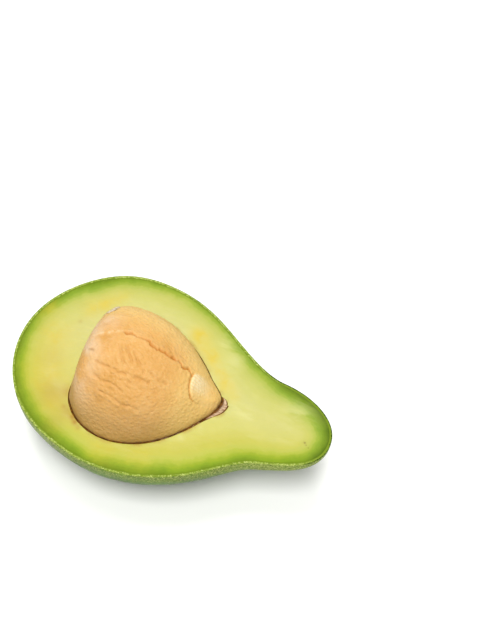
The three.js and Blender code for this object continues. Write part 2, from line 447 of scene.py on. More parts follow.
@dataclass(frozen=True)
class Seed:
    """The pit's plain shape, which its coat and its hollow follow further out."""

    length: float = 49.7
    profile: Profile = Profile((
        ((0.0, 0.0), (0.0, 20.7), (4.5, 23.2), (17.2, 23.2)),
        ((17.2, 23.2), (32.1, 23.2), (41.6, 10.5), (43.6, 8.0)),
        ((43.6, 8.0), (45.0, 6.25), (49.7, 2.3), (49.7, 0.0)),
    ))
    place: tuple[float, float, float] = (24.2, -0.8, -1.1)
    middle_share: float = 0.42
    lean: float = -0.05
    swing_start: float = 27.7
    swing_reach: float = 3.6
    depth_ratio: float = 0.93
    sides_meet: float = 4.0
    hollow: Lining = Lining(
        near=Offset((
            (0.0, 0.3), (0.3, 0.6), (0.8, 1.2), (1.2, 1.4), (2.1, 1.3), (3.1, 0.9), (5.3, 0.65),
            (8.2, 0.8), (11.4, 1.3), (15.3, 1.55), (19.6, 1.45), (24.0, 1.2), (28.3, 1.05), (32.3, 1.15),
            (36.0, 1.3), (39.4, 1.6), (42.4, 2.1), (45.2, 2.35), (47.8, 2.7), (49.7, 3.1),
        )),
        far=Offset((
            (0.0, 0.3), (3.0, 0.25), (33.0, 0.25), (38.0, 0.3), (45.0, 0.32), (47.5, 0.3), (49.0, 0.4),
            (49.7, 2.6),
        )),
        aside=-1.4,
    )
    edge: Lining = Lining(
        near=Offset((
            (0.0, 0.2), (0.3, 0.5), (0.8, 0.95), (1.8, 0.95), (2.6, 0.5), (3.6, 0.1), (7.0, 0.05),
            (10.5, 0.5), (14.6, 0.95), (19.0, 0.9), (24.0, 0.65), (28.0, 0.5), (32.0, 0.5), (36.0, 0.65),
            (39.0, 0.9), (42.0, 1.2), (44.4, 1.35), (46.8, 1.2), (48.6, 0.7), (49.7, 0.2),
        )),
        far=Offset(((0.0, 0.15), (33.0, 0.15), (38.0, 0.05), (42.0, 0.1), (49.7, 0.25))),
    )

    def axis(self, x: Array) -> Array:
        """How far the pit's axis stands aside, at a distance from its base."""
        swung = np.maximum(0.0, (x - self.swing_start) / (self.length - self.swing_start))
        return self.place[1] + self.lean * (x - self.length / 2) + self.swing_reach * swung**2

    def point(self, x: Array, radius: Array, angle: Array) -> Array:
        """Points round the pit's axis.

        Args:
            x: Their distances from its base.
            radius: Their distances from its axis, before it is flattened.
            angle: Angles in degrees from +Y over the top.

        Returns:
            The points, on the last axis.
        """
        turn = np.radians(angle)
        y = self.axis(x) + radius * np.cos(turn)
        z = self.place[2] + self.depth_ratio * radius * np.sin(turn)
        return np.stack([self.place[0] + x + 0.0 * turn, y, z], axis=-1)

    def outline(self, lining: Lining, count: int) -> Array:
        """The outline of a lining seen from above.

        Args:
            lining: The wall.
            count: How many points to give.

        Returns:
            Points spaced evenly, from the base round the +Y side.
        """
        halves = []
        for offset, sign in ((lining.far, 1.0), (lining.near, -1.0)):
            x, radius = self.profile.sample(0.2, offset.at)
            y = self.axis(x) + sign * radius + lining.aside * ease(lining.aside_start, lining.aside_end, x)
            halves.append(np.column_stack([self.place[0] + x, y]))
        return even_loop(np.vstack([halves[0], halves[1][::-1][:-1]]), count)

    def wall(self, edge: Array, lining: Lining, rows: int) -> Array:
        """The wall of a lining under its edge.

        Args:
            edge: The edge's x and y, n by 2.
            lining: The wall.
            rows: How many rows of points to give.

        Returns:
            Rows of points, from the bottom of the wall up to its edge.
        """
        middle = np.array([self.place[0] + self.middle_share * self.length, self.place[1]])
        turn = np.linspace(0.0, np.pi / 2, rows)[:, None, None]
        plan = middle + (edge - middle) * np.sin(turn)
        along = plan[..., 0] - self.place[0]
        aside = plan[..., 1] - self.axis(along)
        on_far = ease(-self.sides_meet, self.sides_meet, aside)
        far, near = (self.profile.radius(along, offset.at) for offset in (lining.far, lining.near))
        half = on_far * far + (1.0 - on_far) * near
        drop = self.depth_ratio * np.sqrt(np.maximum(half**2 - aside**2, 0.0))
        return raised(plan, self.place[2] - drop)


FRUIT = Fruit()
SEED = Seed()


def frame_shift() -> Array:
    """What moves the fruit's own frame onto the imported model's.

    Returns:
        The move on each axis, in millimetres.
    """
    low, high = (np.array(corner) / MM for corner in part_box(CadNode.SKIN.value))
    outline = FRUIT.outline(0.0, 2000)
    middle = (outline.min(axis=0) + outline.max(axis=0)) / 2
    return np.array([*((low + high)[:2] / 2 - middle), high[2]])


SHIFT = frame_shift()
FACE_HEIGHT = float(SHIFT[2])


def placed(points: Array) -> Array:
    """Points of the fruit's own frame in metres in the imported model's frame."""
    return (np.asarray(points, float) + SHIFT) * MM


# ---------------------------------------------------------------- meshes


def add(name: str, data: bpy.types.ID) -> Piece:
    """A new object, linked to the scene.

    Args:
        name: The object's name.
        data: Its mesh, light or camera.

    Returns:
        The object.
    """
    piece = bpy.data.objects.new(name, data)
    bpy.context.scene.collection.objects.link(piece)
    return piece


def piece_from_rings(name: str, rings: Array, marks: dict[str, Array]) -> Piece:
    """A closed and smooth-shaded piece from a grid of points whose last column joins its first.

    Args:
        name: The piece's name.
        rings: Rows by columns by 3, in the fruit's frame.
        marks: Values for the finish to read, one for each point, by name.

    Returns:
        The piece, linked to the scene, with its place in its mesh.
    """
    rows, columns = rings.shape[:2]
    low, beside = np.arange(columns), np.roll(np.arange(columns), -1)
    strip = np.column_stack([low, beside, beside + columns, low + columns])
    faces = (strip + columns * np.arange(rows - 1)[:, None, None]).reshape(-1, 4)
    mesh = bpy.data.meshes.new(name)
    mesh.from_pydata(placed(rings.reshape(-1, 3)).tolist(), [], faces.tolist())
    for mark, values in marks.items():
        layer = mesh.attributes.new(mark, "FLOAT", "POINT")
        layer.data.foreach_set("value", np.asarray(values, np.float32).ravel())
    shell = bmesh.new()
    shell.from_mesh(mesh)
    bmesh.ops.remove_doubles(shell, verts=shell.verts, dist=1e-6)
    bmesh.ops.dissolve_degenerate(shell, edges=shell.edges, dist=1e-7)
    bmesh.ops.recalc_face_normals(shell, faces=shell.faces)
    shell.to_mesh(mesh)
    shell.free()
    mesh.shade_smooth()
    return add(name, mesh)


# ---------------------------------------------------------------- finishes


def tint(code: str, level: float) -> tuple[float, float, float, float]:
    """A colour in linear light.

    Args:
        code: Its usual six-digit code.
        level: How much of its light is given back.

    Returns:
        Its red, green and blue, and an alpha of 1.
    """
    parts = [int(code[i : i + 2], 16) / 255 for i in (0, 2, 4)]
    linear = [p / 12.92 if p <= 0.04045 else ((p + 0.055) / 1.055) ** 2.4 for p in parts]
    return (*(level * value for value in linear), 1.0)


class Finish:
    """One procedural material, put together from short calls. Its patterns are in millimetres."""

    def __init__(self, name: str, level: float = 0.83) -> None:
        """Starts a material with one shader and the piece's own coordinates.

        Args:
            name: The material's name.
            level: How much of its colour codes' light it gives back.
        """
        self.level = level
        self.material = bpy.data.materials.new(name)
        self.material.use_nodes = True
        self.tree = self.material.node_tree
        self.tree.nodes.clear()
        self.shader = self.tree.nodes.new("ShaderNodeBsdfPrincipled")
        output = self.tree.nodes.new("ShaderNodeOutputMaterial")
        self.tree.links.new(self.shader.outputs[0], output.inputs[0])
        self.place = self.scaled(self.node("ShaderNodeTexCoord", {}, "Object"), (1 / MM, 1 / MM, 1 / MM))

    def fill(self, node: bpy.types.Node, inputs: dict) -> None:
        """Links or sets a node's input sockets.

        Args:
            node: The node.
            inputs: A socket to link, a number, or a colour code, by the input's name or number.
        """
        for name, value in inputs.items():
            if isinstance(value, Socket):
                self.tree.links.new(value, node.inputs[name])
            else:
                node.inputs[name].default_value = tint(value, self.level) if isinstance(value, str) else value

    def node(self, kind: str, inputs: dict, output: Union[str, int] = 0, **settings: object) -> Socket:
        """Adds a node.

        Args:
            kind: Its type.
            inputs: What goes into its sockets.
            output: Which of its sockets to give back.
            settings: Its own choices, by name.

        Returns:
            The output socket.
        """
        node = self.tree.nodes.new(kind)
        for name, value in settings.items():
            setattr(node, name, value)
        self.fill(node, inputs)
        return node.outputs[output]

    def done(self, inputs: dict) -> Material:
        """Sets the shader's own sockets, and gives the material."""
        self.fill(self.shader, inputs)
        return self.material

    def scaled(self, vector: Socket, scale: Sequence[float]) -> Socket:
        """A vector times a scale on each axis."""
        return self.node("ShaderNodeVectorMath", {0: vector, 1: tuple(scale)}, operation="MULTIPLY")

    def drawn_out(self, along: float, across: float) -> Socket:
        """The place, for a pattern that is this much longer along the fruit and across it."""
        return self.scaled(self.place, (1 / along, 1 / across, 1 / across))

    def mark(self, name: str) -> Socket:
        """A value that the piece's mesh carries."""
        return self.node("ShaderNodeAttribute", {}, "Fac", attribute_name=name)

    def noise(self, cell: float, detail: float = 3.0, rough: float = 0.5, warp: float = 0.0,
              vector: Optional[Socket] = None) -> Socket:
        """Smooth noise.

        Args:
            cell: The size of its lumps, in millimetres.
            detail: How many finer layers it has.
            rough: How strong each finer layer is.
            warp: How far it is twisted.
            vector: Where it is read, or the piece's own place.

        Returns:
            The noise, from 0 to 1.
        """
        return self.node("ShaderNodeTexNoise", {
            "Vector": vector or self.place, "Scale": 1 / cell, "Detail": detail, "Roughness": rough,
            "Distortion": warp,
        })

    def cells(self, cell: float, vector: Socket) -> Socket:
        """Distance to the nearest of scattered points, in cells of a size in millimetres."""
        return self.node("ShaderNodeTexVoronoi", {"Vector": vector, "Scale": 1 / cell}, "Distance")

    def sum(self, way: Sum, value: object, *others: object) -> Socket:
        """A value put together with others, one after the other.

        Args:
            way: How two values are put together.
            value: The first value.
            others: The values that follow.

        Returns:
            The outcome.
        """
        for other in others:
            value = self.node("ShaderNodeMath", {0: value, 1: other}, operation=way.value)
        return value

    def times(self, *values: object) -> Socket:
        """The product of values."""
        return self.sum(Sum.TIMES, *values)

    def plus(self, *values: object) -> Socket:
        """The total of values."""
        return self.sum(Sum.PLUS, *values)

    def span(self, value: Socket, low: float, high: float, to: tuple[float, float] = (0.0, 1.0),
             way: Step = Step.SMOOTH) -> Socket:
        """A value taken from one range to another, and kept in it."""
        inputs = {"Value": value, "From Min": low, "From Max": high, "To Min": to[0], "To Max": to[1]}
        return self.node("ShaderNodeMapRange", inputs, "Result", interpolation_type=way.value)

    def ramp(self, value: Socket, stops: Sequence[tuple[float, str]]) -> Socket:
        """A colour from a value.

        Args:
            value: The value, from 0 to 1.
            stops: The colour codes, each with its place.

        Returns:
            The colour.
        """
        node = self.tree.nodes.new("ShaderNodeValToRGB")
        node.color_ramp.interpolation = "EASE"
        elements = node.color_ramp.elements
        while len(elements) < len(stops):
            elements.new(0.5)
        for element, (place, code) in zip(elements, stops):
            element.position, element.color = place, tint(code, self.level)
        self.fill(node, {0: value})
        return node.outputs[0]

    def mix(self, share: object, a: object, b: object, way: Blend = Blend.MIX) -> Socket:
        """Two colours put together."""
        return self.node("ShaderNodeMix", {0: share, 6: a, 7: b}, 2, data_type="RGBA", blend_type=way.value)

    def cover(self, body: Socket, *coats: tuple) -> Socket:
        """Lays colours over another, in order.

        Args:
            body: The lowest colour.
            coats: Each one's colour, where it lies and, if it isn't 1, its strength.

        Returns:
            The colour that is seen.
        """
        for colour, *share in coats:
            body = self.mix(self.times(*share), body, colour)
        return body

    def relief(self, *layers: tuple[Socket, float]) -> Socket:
        """Fine relief.

        Args:
            layers: Heights from 0 to 1, each with its depth in millimetres.

        Returns:
            The normal for the shader.
        """
        under = {}
        for height, depth in layers:
            inputs = {"Height": height, "Distance": depth * MM, **under}
            under = {"Normal": self.node("ShaderNodeBump", inputs)}
        return under["Normal"]


@dataclass(frozen=True)
class PeelFinish:
    """Waxy green peel: mottling, a pale speckled cut line that is partly a painted highlight, a pale band by
    the cut that is partly painted reflection, and a lighter ring at the scar.
    """

    dark: str = "234a0a"
    green: str = "3f7412"
    light: str = "689a22"
    grey: str = "4f4f4f"
    white: str = "ffffff"
    dust_and_reflection: str = "9eac54"
    rim: str = "223d0d"
    cut_line_and_highlight: str = "97a948"
    cut_inner: str = "748a26"
    fleck: str = "c8d27c"
    scar_ring: str = "b5c04a"
    roughness: float = 0.38
    cut_roughness: float = 0.8
    dust_and_reflection_depths: tuple[float, float] = (9.0, 0.5)
    ring_reach: tuple[float, float] = (6.5, 3.0)
    line_starts: tuple[float, float] = (0.24, 0.38)
    line_ends: tuple[float, float] = (0.66, 0.84)

    def material(self) -> Material:
        """Builds the material.

        Returns:
            The material.
        """
        f = Finish("waxy_green_peel")
        depth, rim, pale_line = f.mark("depth"), f.mark("across_rim"), f.mark("pale_line")
        mottled = f.ramp(f.noise(9.0, 4.0, 0.6), ((0.3, self.dark), (0.52, self.green), (0.75, self.light)))
        fine = f.ramp(f.noise(1.1, 3.0, 0.65), ((0.35, self.grey), (0.6, self.white)))
        # The pale band near the cut is partly the peel's pale mottling and partly a painted reflection of the
        # pale floor, where the peel's own shine is turned down.
        band = f.times(f.span(depth, *self.dust_and_reflection_depths, (0.25, 1.0)), f.mark("dust_and_reflection_share"))
        grainy = f.span(f.noise(0.6, 3.0, 0.8), 0.38, 0.6, (0.2, 1.0))
        specks = f.span(f.noise(0.6, 2.0, 0.7), 0.56, 0.68)
        plain_rim = f.times(f.span(rim, 0.0, 0.1), f.span(pale_line, 1.0, 0.3))
        ragged = f.plus(rim, f.span(f.noise(0.8, 4.0, 0.7), 0.25, 0.75, (-0.26, 0.26)))
        flecks = f.span(f.noise(0.55, 2.0, 0.7), 0.52, 0.62)
        gaps = f.span(f.noise(1.1, 3.0, 0.7), 0.42, 0.52)
        # The pale speckled line across the cut edge is partly the peel's paler cut layer and partly a painted
        # highlight on the edge's corner.
        line = f.mix(f.times(flecks, 0.8), self.cut_line_and_highlight, self.fleck)
        line = f.mix(f.times(gaps, pale_line), self.cut_inner, line)
        colour = f.cover(
            f.mix(0.45, mottled, fine, Blend.MULTIPLY),
            (self.dust_and_reflection, band, grainy),
            (self.fleck, specks, band, 0.75),
            (self.scar_ring, f.span(f.mark("to_scar"), *self.ring_reach), 0.8),
            (self.rim, plain_rim),
            (line, f.span(ragged, *self.line_starts)),
            (self.cut_inner, f.span(ragged, *self.line_ends)),
        )
        return f.done({
            "Base Color": colour,
            "Roughness": f.span(rim, 0.0, 0.12, (self.roughness, self.cut_roughness)),
            "Normal": f.relief((f.noise(0.9, 3.0, 0.6), 0.07), (f.noise(3.5, 2.0, 0.5), 0.25)),
            "IOR": 1.4,
            "Specular IOR Level": f.span(depth, 3.0, 20.0, (0.04, 0.28)),
        })


@dataclass(frozen=True)
class LenticelFinish:
    """The pale corky dots on the peel."""

    pale: str = "c3cf6c"
    tan: str = "a8a258"
    roughness: float = 0.6

    def material(self) -> Material:
        """Builds the material.

        Returns:
            The material.
        """
        f = Finish("pale_peel_dots")
        colour = f.ramp(f.noise(4.0), ((0.35, self.pale), (0.7, self.tan)))
        relief = f.relief((f.noise(0.12), 0.02))
        return f.done({"Base Color": colour, "Roughness": self.roughness, "Normal": relief})


@dataclass(frozen=True)
class FleshFinish:
    """Moist flesh: green beside the peel, buttery yellow inside, warmer here and there at the hollow, with
    painted shade on its near side and lower left, and spots of painted sheen.
    """

    greenest: float = -2.6
    deepest: float = 16.0
    far_side: Colours = (
        (-2.4, "435c12"), (-1.2, "4e6814"), (0.0, "5b7518"), (1.0, "69831b"),
        (2.0, "758f22"), (3.0, "819b2b"), (4.2, "93a638"), (5.5, "a9b24e"),
        (7.0, "b5b75b"), (9.0, "bcbb62"), (12.0, "c2c06e"), (16.0, "c6c278"),
    )
    # The near side's ramp is a little darker and more saturated: partly the flesh's own tone, partly painted
    # shade.
    near_side: Colours = (
        (-2.4, "435c10"), (-1.2, "4e6812"), (0.0, "5b7514"), (1.0, "698317"),
        (2.0, "758f1c"), (3.0, "819b1f"), (4.2, "93a626"), (5.5, "a9b239"),
        (7.0, "b5b748"), (9.0, "bbb747"), (12.0, "c0ba55"), (16.0, "c4bf62"),
    )
    dull: str = "9fa23c"
    blush: str = "ceb63a"
    # The stains' colour, also laid on as painted shade by the broad spots.
    stain_and_shade: str = "a8782a"
    cream: str = "d3d08a"
    speck: str = "6b5426"
    roughness: float = 0.42
    softness: float = 0.18
    soft_reach: float = 1.6

    def material(self) -> Material:
        """Builds the material.

        Returns:
            The material.
        """
        f = Finish("cut_avocado_flesh")
        reach = self.deepest - self.greenest
        waver = f.span(f.noise(13.0, 3.0, 0.5), 0.25, 0.75, (-1.0, 1.0))
        ripple = f.span(f.noise(2.6, 3.0, 0.6), 0.3, 0.7, (-0.3, 0.3))
        ripe = f.plus(f.mark("ripeness"), waver, ripple)
        share = f.span(ripe, self.greenest, self.deepest, way=Step.STRAIGHT)
        # The near ramp carries painted shade over the near side of the face, as well as the flesh's own tone.
        near, far = (f.ramp(share, [((place - self.greenest) / reach, code) for place, code in stops])
                     for stops in (self.near_side, self.far_side))
        from_peel = f.mark("from_peel")
        long = f.drawn_out(14.0, 4.5)
        streaks = f.span(f.noise(1.0, 3.0, 0.5, 0.7, long), 0.5, 0.8)
        milky = f.span(f.noise(1.0, 4.0, 0.6, 0.3, long), 0.35, 0.6)
        cloud = f.span(f.noise(6.0, 4.0, 0.6, 0.6), 0.4, 0.7, (0.5, 1.0))
        patchy = f.span(f.noise(5.0, 3.0), 0.45, 0.68)
        near_hollow = f.times(f.span(f.mark("from_hollow"), 1.5, 0.1), patchy, 0.6)
        colour = f.cover(
            f.mix(f.mark("far_side"), near, far),
            (self.cream, streaks, f.span(from_peel, 5.0, 11.0), 0.3),
            (self.dull, f.span(f.noise(7.0, 4.0, 0.55, 0.5), 0.35, 0.65), 0.1),
            (self.blush, f.mark("blush"), cloud, 0.85),
            # Stains by the hollow, with painted shade from the broad spots over the lower left.
            (self.stain_and_shade, f.sum(Sum.GREATER, near_hollow, f.mark("stain_and_shade")), 0.8),
            # Painted sheen: creamy spots where the moist face would catch the light.
            (self.cream, f.mark("cream"), milky),
            (self.speck, f.mark("speck")),
        )
        knife = f.noise(1.0, 3.0, 0.5, 0.2, f.drawn_out(7.0, 0.7))
        return f.done({
            "Base Color": colour,
            "Roughness": self.roughness,
            "Normal": f.relief((f.noise(0.35, 3.0, 0.6), 0.03), (knife, 0.03)),
            "IOR": 1.36,
            "Subsurface Weight": self.softness,
            "Subsurface Radius": (1.0, 0.75, 0.2),
            "Subsurface Scale": self.soft_reach * MM,
            "Specular IOR Level": f.span(from_peel, 1.0, 8.0, (0.05, 0.2)),
        })


@dataclass(frozen=True)
class PitFinish:
    """Matt tan seed: pinker at its base, orange in its cracks, pale along the closed seam, with a painted
    highlight on the lobe, painted light on its far shoulder, and painted shade in its creases, on its middle
    and on its lower near flank.
    """

    tan: str = "d8a35a"
    light: str = "dfb06c"
    brown: str = "cc9548"
    base: str = "e8c8a0"
    tip: str = "ecc474"
    # Painted shade for the lower near flank: a little darker and redder than the tan.
    low: str = "cca05e"
    crack: str = "be7826"
    # Painted shade for the creases and folds.
    crease: str = "bb8340"
    pale: str = "f4e2b6"
    spot: str = "a0743c"
    roughness: float = 0.55
    softness: float = 0.1
    soft_reach: float = 1.2
    base_reach: tuple[float, float] = (15.0, 1.0)
    tip_reach: tuple[float, float] = (30.0, 42.0)

    def material(self) -> Material:
        """Builds the material.

        Returns:
            The material.
        """
        f = Finish("peeled_seed")
        along = f.mark("along")
        fine = f.noise(1.0, 4.0, 0.65, 0.3, f.drawn_out(1.3, 0.8))
        colour = f.cover(
            f.ramp(f.noise(8.0, 4.0, 0.6), ((0.3, self.brown), (0.48, self.tan), (0.72, self.light))),
            (self.base, f.span(along, *self.base_reach), f.span(f.noise(9.0, 3.0, 0.5), 0.3, 0.6)),
            # Painted shade: the lower near flank is tinted a little darker and redder, as it lies in shade.
            (self.low, f.mark("low"), 0.75),
            (self.tip, f.span(along, *self.tip_reach), 0.8),
            # Painted light: the far shoulder is painted paler, as though lit from behind.
            (self.tip, f.mark("high"), 0.75),
            # Painted shade: the middle of the seed's top is painted browner, to darken where the light falls
            # most.
            (self.brown, f.mark("middle"), 0.2),
            (self.pale, f.span(fine, 0.48, 0.7), 0.1),
            # Painted shade: the creases and folds are painted browner, as shade falls in them.
            (self.crease, f.mark("crease"), 0.42),
            # The painted highlight on the lobe, and the paler ridge of the shut seam.
            (self.pale, f.mark("pale"), 0.8),
            (self.crack, f.mark("crack")),
            (self.spot, f.mark("spot"), 0.7),
        )
        pebbles = f.span(f.cells(1.15, f.drawn_out(1.3, 1.0)), 0.0, 0.7, (1.0, 0.0))
        wrinkles = f.noise(1.0, 3.0, 0.6, 0.3, f.drawn_out(1.3, 0.8))
        return f.done({
            "Base Color": colour,
            "Roughness": self.roughness,
            "Normal": f.relief((f.noise(0.28, 3.0, 0.65), 0.04), (pebbles, 0.13), (wrinkles, 0.11)),
            "IOR": 1.4,
            "Subsurface Weight": self.softness,
            "Subsurface Radius": (1.0, 0.5, 0.2),
            "Subsurface Scale": self.soft_reach * MM,
            "Specular IOR Level": 0.3,
        })


@dataclass(frozen=True)
class CoatFinish:
    """Dry brown papery seed coat, grey and pinkish where it lifts off, and paler on the flake."""

    dark: str = "4e2b06"
    brown: str = "805216"
    lifted: str = "d8bc98"
    lifted_dark: str = "9a785e"
    flake: str = "f2dfbc"
    roughness: float = 0.7

    def material(self) -> Material:
        """Builds the material.

        Returns:
            The material.
        """
        f = Finish("papery_seed_coat")
        fibres = f.noise(1.0, 4.0, 0.6, 0.5, f.drawn_out(1.6, 0.4))
        colour = f.cover(
            f.ramp(f.noise(1.3, 4.0, 0.65), ((0.35, self.dark), (0.7, self.brown))),
            (f.ramp(fibres, ((0.36, self.lifted_dark), (0.58, self.lifted))), f.mark("lifted")),
            (f.ramp(fibres, ((0.36, self.lifted_dark), (0.48, self.flake))), f.mark("bleached")),
        )
        return f.done({
            "Base Color": colour, "Roughness": self.roughness, "Normal": f.relief((fibres, 0.1)),
            "Specular IOR Level": 0.08,
        })


@dataclass(frozen=True)
class CorkFinish:
    """Dry corky stem scar, tan, with a dark slit."""

    pale: str = "e6d695"
    tan: str = "b8995a"
    slit: str = "4a3a12"
    roughness: float = 0.75

    def material(self) -> Material:
        """Builds the material.

        Returns:
            The material.
        """
        f = Finish("corky_stem_scar")
        body = f.ramp(f.noise(0.8, 4.0, 0.7), ((0.35, self.tan), (0.6, self.pale)))
        return f.done({
            "Base Color": f.cover(body, (self.slit, f.mark("slit"))),
            "Roughness": self.roughness,
            "Normal": f.relief((f.noise(0.3, 3.0, 0.7), 0.12)),
        })


@dataclass(frozen=True)
class FloorFinish:
    """Plain pale floor."""

    white: str = "fbfbf9"
    roughness: float = 0.6

    def material(self) -> Material:
        """Builds the material.

        Returns:
            The material.
        """
        f = Finish("pale_floor", level=1.0)
        colour = f.mix(0.03, self.white, f.noise(400.0))
        return f.done({"Base Color": colour, "Roughness": self.roughness, "Specular IOR Level": 0.1})


# ---------------------------------------------------------------- the parts


@dataclass
class Part:
    """A part of the fruit, which builds its pieces and dresses them."""

    node: ClassVar[CadNode]

    def dress(self, piece: Piece, finish: Material, replaces: bool = True) -> Piece:
        """Gives a piece its finish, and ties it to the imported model.

        Args:
            piece: The finished piece.
            finish: Its material.
            replaces: Whether it stands for the part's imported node.

        Returns:
            The piece.
        """
        node = self.node
        piece.data.materials.clear()
        piece.data.materials.append(finish)
        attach(piece, BODY)
        if replaces:
            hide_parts(node.value)
        return piece

    def build(self) -> list[Piece]:
        """Builds and dresses the part's pieces; each part has its own."""
        raise NotImplementedError


@dataclass(frozen=True)
class Lenticels:
    """The pale dots scattered over the peel, made by a node tree."""

    density: float = 330000.0
    smallest: float = 0.09
    largest: float = 0.2
    flatness: float = 0.3
    seed: int = 7
    below_cut: float = 0.5
    off_scar: float = 3.6

    def tree(self, finish: Material) -> bpy.types.NodeTree:
        """Builds the node tree that scatters flattened beads over a surface.

        Args:
            finish: The beads' material.

        Returns:
            The tree, with named inputs for its sizes.
        """
        tree = bpy.data.node_groups.new("peel_dots", "GeometryNodeTree")
        for name, way, kind in (
            ("Surface", "INPUT", "Geometry"), ("Density", "INPUT", "Float"), ("Smallest", "INPUT", "Float"),
            ("Largest", "INPUT", "Float"), ("Flatness", "INPUT", "Float"), ("Seed", "INPUT", "Int"),
            ("Dots", "OUTPUT", "Geometry"),
        ):
            tree.interface.new_socket(name, in_out=way, socket_type=f"NodeSocket{kind}")
        nodes = {name: tree.nodes.new(kind) for name, kind in (
            ("given", "NodeGroupInput"),
            ("scatter", "GeometryNodeDistributePointsOnFaces"),
            ("bead", "GeometryNodeMeshIcoSphere"),
            ("flat", "ShaderNodeCombineXYZ"),
            ("shape", "GeometryNodeTransform"),
            ("size", "FunctionNodeRandomValue"),
            ("instance", "GeometryNodeInstanceOnPoints"),
            ("real", "GeometryNodeRealizeInstances"),
            ("painted", "GeometryNodeSetMaterial"),
            ("result", "NodeGroupOutput"),
        )}
        for name, socket, value in (
            ("bead", "Radius", 1.0), ("bead", "Subdivisions", 1), ("flat", "X", 1.0), ("flat", "Y", 1.0),
            ("painted", "Material", finish),
        ):
            nodes[name].inputs[socket].default_value = value
        for source, output, target, socket in (
            ("given", "Surface", "scatter", "Mesh"),
            ("given", "Density", "scatter", "Density"),
            ("given", "Seed", "scatter", "Seed"),
            ("given", "Smallest", "size", 2),
            ("given", "Largest", "size", 3),
            ("given", "Seed", "size", "Seed"),
            ("given", "Flatness", "flat", "Z"),
            ("flat", "Vector", "shape", "Scale"),
            ("bead", "Mesh", "shape", "Geometry"),
            ("scatter", "Points", "instance", "Points"),
            ("scatter", "Rotation", "instance", "Rotation"),
            ("shape", "Geometry", "instance", "Instance"),
            ("size", 1, "instance", "Scale"),
            ("instance", "Instances", "real", "Geometry"),
            ("real", "Geometry", "painted", "Geometry"),
            ("painted", "Geometry", "result", "Dots"),
        ):
            tree.links.new(nodes[source].outputs[output], nodes[target].inputs[socket])
        return tree

    def carrier(self, peel: Piece) -> Piece:
        """The part of the peel that the dots are scattered over.

        Args:
            peel: The finished peel.

        Returns:
            A copy of its outside, without its edge and its scar.
        """
        skin = peel.data.copy()
        shell = bmesh.new()
        shell.from_mesh(skin)
        across, depth, scar = (shell.verts.layers.float[name] for name in ("across_rim", "depth", "to_scar"))
        spare = [
            v for v in shell.verts
            if v[across] > 0.0 or v[depth] < self.below_cut or v[scar] < self.off_scar
        ]
        bmesh.ops.delete(shell, geom=spare, context="VERTS")
        shell.to_mesh(skin)
        shell.free()
        return add("peel_dots_carrier", skin)

    def scatter(self, peel: Piece, finish: Material) -> Piece:
        """Scatters the dots over the outside of the peel, and turns them into a plain mesh.

        Args:
            peel: The finished peel.
            finish: The dots' material.

        Returns:
            The dots as one piece.
        """
        carrier = self.carrier(peel)
        modifier = carrier.modifiers.new("dots", "NODES")
        modifier.node_group = self.tree(finish)
        values = {
            "Density": self.density, "Smallest": self.smallest * MM, "Largest": self.largest * MM,
            "Flatness": self.flatness, "Seed": self.seed,
        }
        for item in modifier.node_group.interface.items_tree:
            if item.name in values:
                modifier[item.identifier] = values[item.name]
        bpy.context.view_layer.update()
        ready = carrier.evaluated_get(bpy.context.evaluated_depsgraph_get())
        mesh = bpy.data.meshes.new_from_object(ready)
        bpy.data.objects.remove(carrier)
        mesh.name = "peel_dots"
        mesh.shade_smooth()
        return add("peel_dots", mesh)


